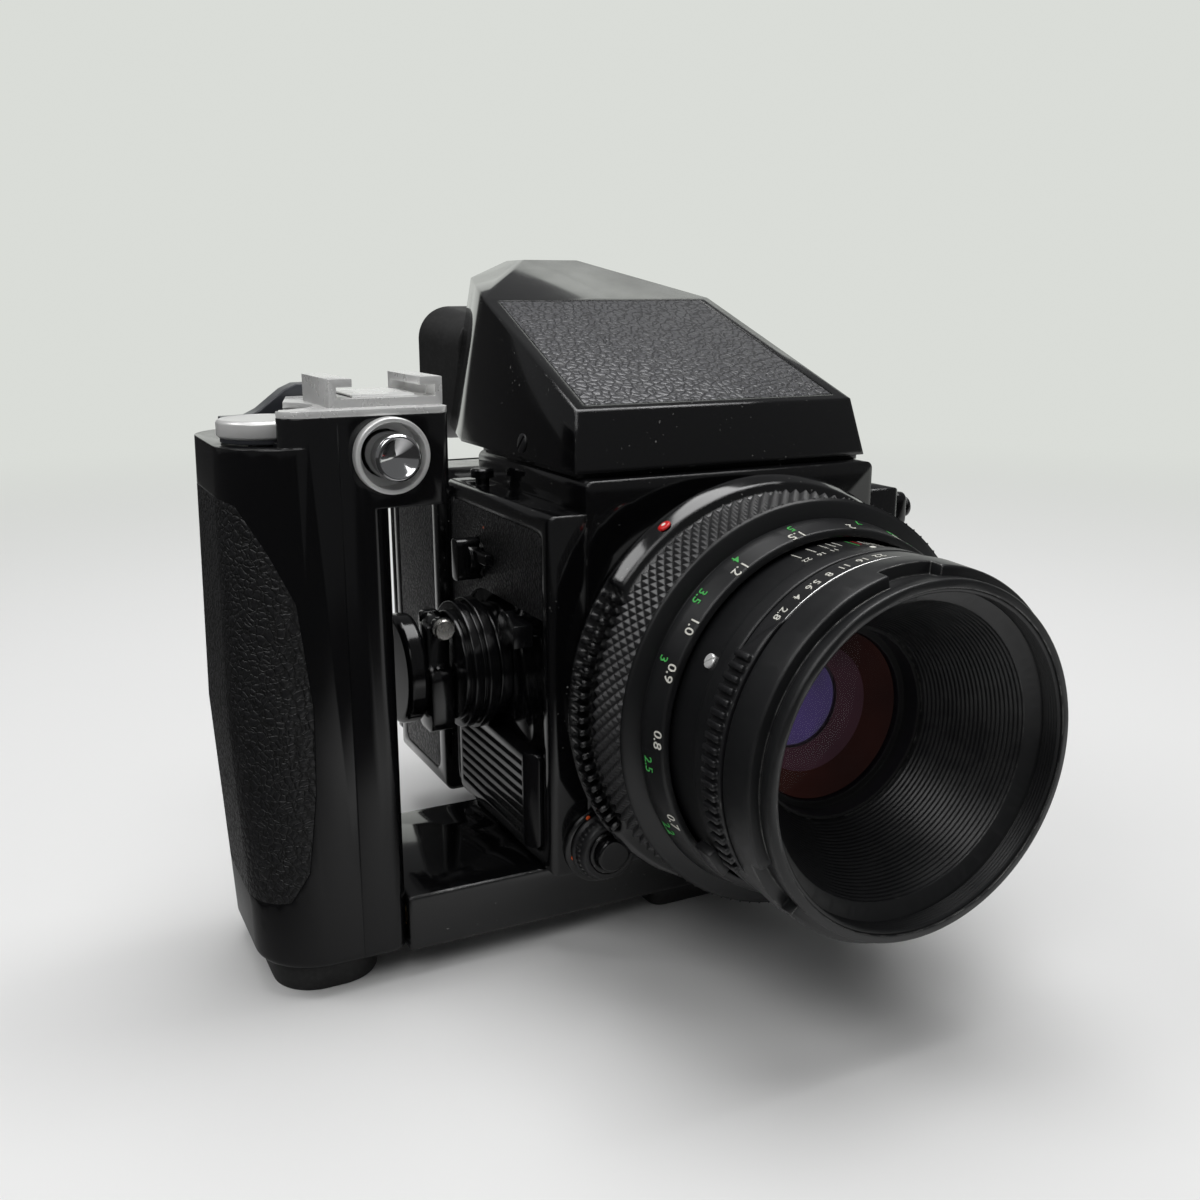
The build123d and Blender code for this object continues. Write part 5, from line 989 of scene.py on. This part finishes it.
# %% Slotted screw
def slotted_screw(radius, place, normal, turn_by, height=0.5):
    """A slotted screw head that stands on a surface, facing a direction."""
    rim, shoulder = (radius, height * 0.55), (radius * 0.86, height * 0.9)
    outline = [(0, -0.4), (radius, -0.4), rim, shoulder, (0, height)]
    head = turned("screw_head", outline, "Z", (0, 0, 0), 40)
    slot = box((0, 0, height), (radius * 3, radius * 0.30, height * 1.1))
    cut_away(head, slot)
    bpy.data.objects.remove(slot)
    turn = facing(normal) @ Matrix.Rotation(math.radians(turn_by), 4, "Z")
    return smooth(move_mesh(head, place, turn), 32)


barrel_screw = slotted_screw(1.35, *on_lens(61, 38.75, 33.85), 35)
mount(weld([barrel_screw], "barrel_screw"), "lens_front", STEEL)
lean = math.radians(8.2)
finder_side = Vector((-math.cos(lean), 0, math.sin(lean)))
finder_screw = slotted_screw(2.1, (-34.70, 5.66, 103.63), finder_side, 50, 0.55)
mount(weld([finder_screw], "finder_screw"), "camera", PLASTIC)
BASE_SCREWS = ((-50, -14, 20), (-50, 14, 75), (15, 16, 130), (-22, 16, 5))
base_screws = [slotted_screw(2.2, (x, y, 6.0), (0, 0, -1), turn_by) for x, y, turn_by in BASE_SCREWS]
mount(weld(base_screws, "base_screws"), "camera", STEEL)

# %% [markdown]
# ## Inside the lens
# The ribbed funnel in front of the glass is part of the CAD front barrel. Behind it sits the
# front glass, and behind that glass three coated faces step inwards like a funnel.

# %% Front glass
def cap(radius, curve, apex, count):
    """Points of a domed face from its middle to its rim; the curve is the radius of its ball."""
    steps = [radius * i / count for i in range(count + 1)]
    return [(step, apex - curve + math.sqrt(curve * curve - step * step)) for step in steps]


front_glass = lens_turned("front_glass", cap(18.2, 46, 36.8, 8) + [(18.2, 33.0), (0, 33.0)], 96)
smooth(front_glass, 40)
mount(front_glass, "lens_front", LENS_GLASS, ["lens_glasses"])

# %% Coated faces behind it, glowing with painted reflections
COATED_FACES = {
    "red_face": ([(12.9, 28.2), (16.8, 32.4), (16.8, 31.4), (12.9, 27.2)], DARK_RED),
    "mauve_face": ([(9.4, 24.6), (11.3, 26.7), (12.8, 28.1), (12.8, 27.1), (9.4, 23.8)], MAUVE),
    "violet_face": (cap(9.3, 16, 25.9, 8) + [(9.3, 23.0), (0, 23.0)], VIOLET),
}
# Each face glows with its tint: a painted reflection of its coating.
for name, (outline, coating) in COATED_FACES.items():
    face = smooth(lens_turned(name, outline, 96), 40)
    mount(face, "lens_front", coating)

# %% [markdown]
# The rear glass bulges towards the film. The same dome is drawn and then turned to face back.

# %% Rear glass
back_face = [(radius, 32.0 - out) for radius, out in cap(15.9, 28, 16.0, 8)]
rear_glass = lens_turned("rear_glass", [(0, 21.8), (15.9, 21.8)] + back_face[::-1], 96)
smooth(rear_glass, 40)
mount(rear_glass, "lens_front", LENS_GLASS)

# %% [markdown]
# ## The grip's wind wheel and lever
# One solid in the CAD model is two materials on the real grip: a bead-blasted silver wheel, and
# a dark grey plastic arm that bends round behind the head and ends in a rising thumb pad.

# %% Silver wheel
WHEEL_AXIS = (-91.5, -6.0, 0)
wheel = turned("wind_wheel", [
    (0, 109.3), (8.1, 109.3), (8.6, 109.7), (8.6, 112.1), (8.1, 112.6), (7.4, 112.7), (7.0, 112.5),
    (0, 112.5)], "Z", WHEEL_AXIS, 96)
soft_edges(wheel, 0.15, 2, 25)
mount(wheel, "winder", STEEL)

# %% [markdown]
# The thumb pad is a block that is subdivided, and the height of each vertex is scaled so that
# the top rises in one smooth step.

# %% Dark hub and arm
PAD_FOOT = 108.5
PAD_HEIGHT = 8.4
LOW_TOP = 110.8
RISE = 6.3
RISE_START = -91.0
RISE_LENGTH = 11.5
hub_outline = [(3.0, PAD_FOOT), (8.0, PAD_FOOT), (8.0, 109.35), (3.0, 109.35)]
hub = turned("wheel_hub", hub_outline, "Z", WHEEL_AXIS, 96)
arm = soft_edges(box((-93.85, 5.4, 109.6), (2.6, 22.6, 2.1)), 0.5)
pad = box((-85.1, 18.7, PAD_FOOT + PAD_HEIGHT / 2), (20.0, 5.6, PAD_HEIGHT))
open_mesh(pad)
bpy.ops.mesh.subdivide(number_cuts=7)
bpy.ops.object.mode_set(mode="OBJECT")
for vertex in pad.data.vertices:
    x, z = vertex.co.x / MM, vertex.co.z / MM
    share = min(max((x - RISE_START) / RISE_LENGTH, 0), 1)
    top = LOW_TOP + RISE * share * share * (3 - 2 * share)
    vertex.co.z = (PAD_FOOT + (z - PAD_FOOT) / PAD_HEIGHT * (top - PAD_FOOT)) * MM
soft_edges(pad, 0.7, 3)
lever = weld([hub, arm, pad], "wind_lever_arm")
mount(lever, "winder", GREY_PLASTIC, ["wind_lever"])

# %% [markdown]
# ## Release on the grip
# The ring is satin silver and deep. The button inside is turned and polished: its dished face
# mirrors the room.

# %% Release ring and button
release_at = (-72.2, 0, 106.3)
collar = turned("release_ring", [
    (6.1, -18.0), (6.1, -23.25), (6.25, -23.4), (6.8, -23.4), (7.0, -23.2), (7.0, -20.9),
    (6.3, -20.8), (6.3, -13.0), (4.5, -13.0), (4.5, -18.0)], "Y", release_at, 96)
soft_edges(collar, 0.06, 2, 30)
mount(collar, "grip_collar", STEEL, ["grip_release_collar"])
DISH_RADIUS = 3.45
DISH_BOTTOM = -25.0
shares = [i / 8 for i in range(9)]
dish = [(DISH_RADIUS * share, DISH_BOTTOM - 1.6 * share ** 1.3) for share in shares]
rim = [(3.6, -26.75), (3.9, -26.75), (4.3, -26.3), (4.3, -15.7)]
button = turned("release_dish", [(0, -15.7)] + dish + rim, "Y", release_at, 96)
soft_edges(button, 0.08, 2, 30)
mount(button, "grip_button", CHROME, ["grip_release_button"])

# %% [markdown]
# ## Body release
# The lock collar is a small knurled ring, and the black button stands in it. Two orange dots
# show whether it is locked, and a third marks the lever for double exposures.

# %% Lock collar
COLLAR_X, COLLAR_Z = -31.8, 23.2
FLUTE_RADIUS = 6.5
collar_at = (COLLAR_X, 0, COLLAR_Z)
collar = turned("lock_ring", [
    (4.75, -26.5), (7.1, -26.5), (7.1, -27.2), (FLUTE_RADIUS, -27.5), (FLUTE_RADIUS, -29.2),
    (5.9, -30.4), (4.75, -30.4)], "Y", collar_at, 96)
soft_edges(collar, 0.12, 2, 30)
flute = box((COLLAR_X + FLUTE_RADIUS, -28.35, COLLAR_Z), (0.5, 1.5, 0.45))
soft_edges(flute, 0.12, 1)
flutes = [around(flute, step * 10, collar_at, "Y") for step in range(36)]
bpy.data.objects.remove(flute)
collar = weld([collar] + flutes, "knurled_lock_ring")
mount(collar, "lock_collar", SATIN, ["release_lock_collar"])
lock_index = dot(0.5, (-34.9, -26.3, 29.72), (0, -1, 0))
stamp([lock_index], "lock_index_dot", "camera", ORANGE_INK)
ring_dot = dot(0.5, (-38.55, -26.75, 21.6), (-0.8, -0.6, -0.2))
stamp([ring_dot], "lock_ring_dot", "lock_collar", ORANGE_INK)
lever_dot = dot(0.5, (-42.82, 8.91, 85.44), (-1, 0, 0), 0.1)
stamp([lever_dot], "exposure_dot", "camera", ORANGE_INK)

# %% [markdown]
# ## Dials on the far side
# Both dials carry plain numbers round their faces. Each number is laid flat on the dial with its
# top to the rim, so one function serves both.


# %% Dial numbers
def dial_numbers(texts, centre, radius, step, height):
    """Numbers round the face of a dial on the far side, a step in degrees apart."""
    numbers = []
    for count, text in enumerate(texts):
        turn = math.radians(150 - count * step)
        outward = Vector((0, -math.sin(turn), math.cos(turn)))
        reading = outward.cross(Vector((1, 0, 0)))
        numbers.append(lay(ink(text, height), Vector(centre) + outward * radius, reading, outward))
    return numbers


SPEEDS = ("500", "250", "125", "60", "30", "15", "8", "4", "2", "1", "B")
speeds = dial_numbers(SPEEDS, (47.93, 2.0, 78.0), 8.4, 30, 1.6)
stamp(speeds, "shutter_speeds", "speed_dial", WHITE_INK)
FILM_SPEEDS = ("25", "50", "100", "200", "400", "800", "1600")
films = dial_numbers(FILM_SPEEDS, (48.33, 51.5, 60.0), 6.2, 50, 1.3)
stamp(films, "film_speeds", "sensitivity_dial", WHITE_INK)

# %% [markdown]
# ## Back door
# The door at the rear has its own leather panel and a pressed frame that holds the end of a
# film box as a reminder. Only the panel's four short edges have a bevel weight, so its corners
# are rounded in one step and its thin rim in the next.

# %% Door leather
CORNER_RADIUS = 2.5
panel = box((0, 71.85, 53.0), (80, 0.6, 54))
corners = panel.modifiers.new("corners", "BEVEL")
corners.width = CORNER_RADIUS * MM
corners.segments = 6
corners.limit_method = "WEIGHT"
weights = panel.data.attributes.new("bevel_weight_edge", "FLOAT", "EDGE")
for edge in panel.data.edges:
    first, last = (panel.data.vertices[v].co for v in edge.vertices)
    weights.data[edge.index].value = 1.0 if abs(first.y - last.y) > 0.1 * MM else 0.0
apply_all(panel)
soft_edges(panel, 0.2)
mount(panel, "door", LEATHER)

# %% [markdown]
# The memo frame starts as a plane. Inset leaves a narrow border, the middle face is deleted,
# and the border gets its thickness.

# %% Memo frame
clear()
bpy.ops.mesh.primitive_plane_add(size=1, location=(0, 0, 0))
memo = bpy.context.object
memo.scale = (50 * MM, 38 * MM, 1)
settle(memo)
open_mesh(memo)
bpy.ops.mesh.inset(thickness=2.2 * MM)
bpy.ops.mesh.delete(type="FACE")
bpy.ops.object.mode_set(mode="OBJECT")
thicken(memo, 0.8)
soft_edges(memo, 0.2)
lay(memo, (0, 72.5, 55.0), (-1, 0, 0), (0, 0, 1))
mount(memo, "door", SATIN)

# %% [markdown]
# ## Spring in the accessory shoe
# A thin sheet of spring steel lies in the shoe's slot. It presses a flash's foot against the
# rails with two low humps, and its front end is bent down as a lip.

# %% Shoe spring
HUMP_X, HUMP_WIDTH, HUMP_LENGTH, HUMP_HEIGHT = 4.2, 1.1, 5.0, 0.45
LIP_START, LIP_SLOPE = 7.2, 0.35
clear()
bpy.ops.mesh.primitive_grid_add(x_subdivisions=22, y_subdivisions=30, size=1, location=(0, 0, 0))
spring = bpy.context.object
spring.scale = (12.0 * MM, 16.5 * MM, 1)
settle(spring)
for vertex in spring.data.vertices:
    x, y = vertex.co.x / MM, vertex.co.y / MM
    across = math.exp(-((abs(x) - HUMP_X) / HUMP_WIDTH) ** 2)
    hump = HUMP_HEIGHT * across * math.exp(-(y / HUMP_LENGTH) ** 2)
    lip = LIP_SLOPE * max(0.0, -y - LIP_START)
    vertex.co.z = (hump - lip) * MM
thicken(spring, 0.3)
soft_edges(spring, 0.06, 1)
lay(spring, (-71.0, -6.9, 116.62), (1, 0, 0), (0, 1, 0))
mount(spring, "camera", SATIN_CHROME)

# %% [markdown]
# ## The stage
# The camera stands on a pale sheet that curves up behind it. Far from the camera the sheet
# shows its own pale colour to the camera and to mirrors, so the backdrop stays even, while the
# floor nearby keeps the shadow. To the left of the camera and in front of it, mirrors see a dark
# room instead of the sheet, so the shiny black faces that look there stay deep black. Each range
# below is a pair of distances in metres, between which one look turns into the other.

# %% Floor and backdrop
BACKDROP = (0.70, 0.72, 0.685)
DARK_ROOM = (0.03, 0.03, 0.03)
SHADOW_ENDS = (0.20, 0.95)
LEFTWARDS, LEFT_DARK = (-1.1175, -0.0025, 0.0), (0.02, 0.16)
BACKWARDS, FRONT_DARK = (0.445, 0.895, 0.0), (-0.22, -0.12)


def along(tree, place, direction):
    """How far a place lies in a direction."""
    node = add_node(tree, "ShaderNodeVectorMath", operation="DOT_PRODUCT")
    node.inputs[1].default_value = direction
    tree.links.new(place, node.inputs[0])
    return node.outputs["Value"]


def even_light(tree, colour):
    """A shader that shows its own colour, whatever light falls on it."""
    node = add_node(tree, "ShaderNodeEmission", Strength=1.0, Color=(*colour, 1))
    return node.outputs["Emission"]


def pale_sheet(colour, far_colour):
    """A pale matt floor that turns into an even backdrop with distance."""
    material, tree, shader, place = new_material("pale_sheet", colour, 0.6)
    shader.inputs["Specular IOR Level"].default_value = 0.2
    shade = tuple(c * 0.985 for c in colour)
    patches = remap(tree, noise(tree, place, 3.0, 3.0), 0.3, 0.7, 0.0, 1.0)
    tree.links.new(two_colours(tree, patches, colour, shade), shader.inputs["Base Color"])
    reach = add_node(tree, "ShaderNodeVectorMath", operation="LENGTH")
    tree.links.new(place, reach.inputs[0])
    distance = remap(tree, reach.outputs["Value"], *SHADOW_ENDS, 0.0, 1.0)
    distance.node.interpolation_type = "SMOOTHSTEP"
    rays = add_node(tree, "ShaderNodeLightPath").outputs
    seen = combine(tree, "MAXIMUM", rays["Is Camera Ray"], rays["Is Glossy Ray"])
    seen = combine(tree, "MAXIMUM", seen, rays["Is Transmission Ray"])
    share = combine(tree, "MULTIPLY", seen, distance)
    sheet = mix_shaders(tree, share, shader.outputs["BSDF"], even_light(tree, far_colour))
    left = remap(tree, along(tree, place, LEFTWARDS), *LEFT_DARK, 0.0, 1.0)
    front = remap(tree, along(tree, place, BACKWARDS), *FRONT_DARK, 1.0, 0.0)
    beyond = combine(tree, "MAXIMUM", left, front)
    mirrored = combine(tree, "MULTIPLY", beyond, rays["Is Glossy Ray"])
    whole = mix_shaders(tree, mirrored, sheet, even_light(tree, DARK_ROOM))
    tree.links.new(whole, tree.nodes["Material Output"].inputs["Surface"])
    return material


CURVE_START = 1.2
CURVE_RADIUS = 1.6
clear()
bpy.ops.mesh.primitive_grid_add(x_subdivisions=8, y_subdivisions=60, size=1, location=(0, 0, 0))
floor = bpy.context.object
floor.name = "floor_sheet"
floor.scale = (8, 8, 1)
settle(floor)
for vertex in floor.data.vertices:
    if vertex.co.y > CURVE_START:
        turn = min((vertex.co.y - CURVE_START) / CURVE_RADIUS, math.pi / 2)
        vertex.co.z = CURVE_RADIUS * (1 - math.cos(turn))
floor.rotation_euler.z = math.radians(-26)
settle(floor)
floor.data.materials.append(pale_sheet((0.84, 0.84, 0.835), BACKDROP))
pick(floor)
bpy.ops.object.shade_smooth()
print("floor faces:", len(floor.data.polygons))

# %% [markdown]
# Large square lamps overhead give the broad soft highlights of a room's ceiling. The world is
# dim, so that black paint stays black, and only the camera sees it as a pale wall.


# %% Lamps and world
def soft_lamp(name, location, target, size, watts):
    """A square lamp that looks at a point."""
    bpy.ops.object.light_add(type="AREA", location=location)
    lamp = bpy.context.object
    lamp.name = name
    lamp.data.shape = "SQUARE"
    lamp.data.size = size
    lamp.data.energy = watts
    aim = (Vector(target) - Vector(location)).to_track_quat("-Z", "Y")
    lamp.rotation_euler = aim.to_euler()
    return lamp


LAMPS = {
    "overhead": ((0.12, 0.12, 1.30), (0, 0, 0.05), 0.85, 10.5),
    "ceiling_right": ((0.62, 0.02, 1.30), (0, 0, 0.08), 0.42, 2.4),
    "ceiling_left": ((-0.95, 0.40, 1.25), (0, 0, 0.08), 0.5, 3.2),
    "front_fill": ((-0.65, -0.75, 1.15), (0, 0, 0.05), 0.8, 6.0),
}
clear()
for name, (location, target, size, watts) in LAMPS.items():
    soft_lamp(name, location, target, size, watts)
world = bpy.data.worlds.new("pale_room")
world.use_nodes = True
bpy.context.scene.world = world
tree = world.node_tree
background = tree.nodes["Background"]
background.inputs["Color"].default_value = (0.86, 0.87, 0.88, 1)
background.inputs["Strength"].default_value = 0.14
wall = add_node(tree, "ShaderNodeBackground", Strength=1.0, Color=(*BACKDROP, 1))
rays = add_node(tree, "ShaderNodeLightPath")
room = mix_shaders(tree, rays.outputs["Is Camera Ray"], background.outputs["Background"],
                   wall.outputs["Background"])
tree.links.new(room, tree.nodes["World Output"].inputs["Surface"])
print("lamps:", len(LAMPS))

# %% [markdown]
# The lens of this view is a little wide and close, so the front of the camera looms. Its
# place and turn were solved from the picture's straight edges and circles.

# %% The view
VIEW_PLACE = (-0.13897, -0.24129, 0.13495)
VIEW_FORWARD = Vector((0.4322, 0.8694, -0.2394))
VIEW_ROLL = math.radians(0.09)
clear()
bpy.ops.object.camera_add(location=VIEW_PLACE)
view = bpy.context.object
view.name = "view"
level = VIEW_FORWARD.to_track_quat("-Z", "Y").to_matrix().to_4x4()
view.rotation_euler = (Matrix.Rotation(VIEW_ROLL, 4, VIEW_FORWARD) @ level).to_euler()
view.data.sensor_width = 36
view.data.lens = 37.37
view.data.clip_start = 0.005
bpy.context.scene.camera = view
bpy.context.scene.view_settings.view_transform = "Standard"
print("view from", tuple(round(c, 3) for c in view.location))

# %% Finish
bpy.context.view_layer.update()
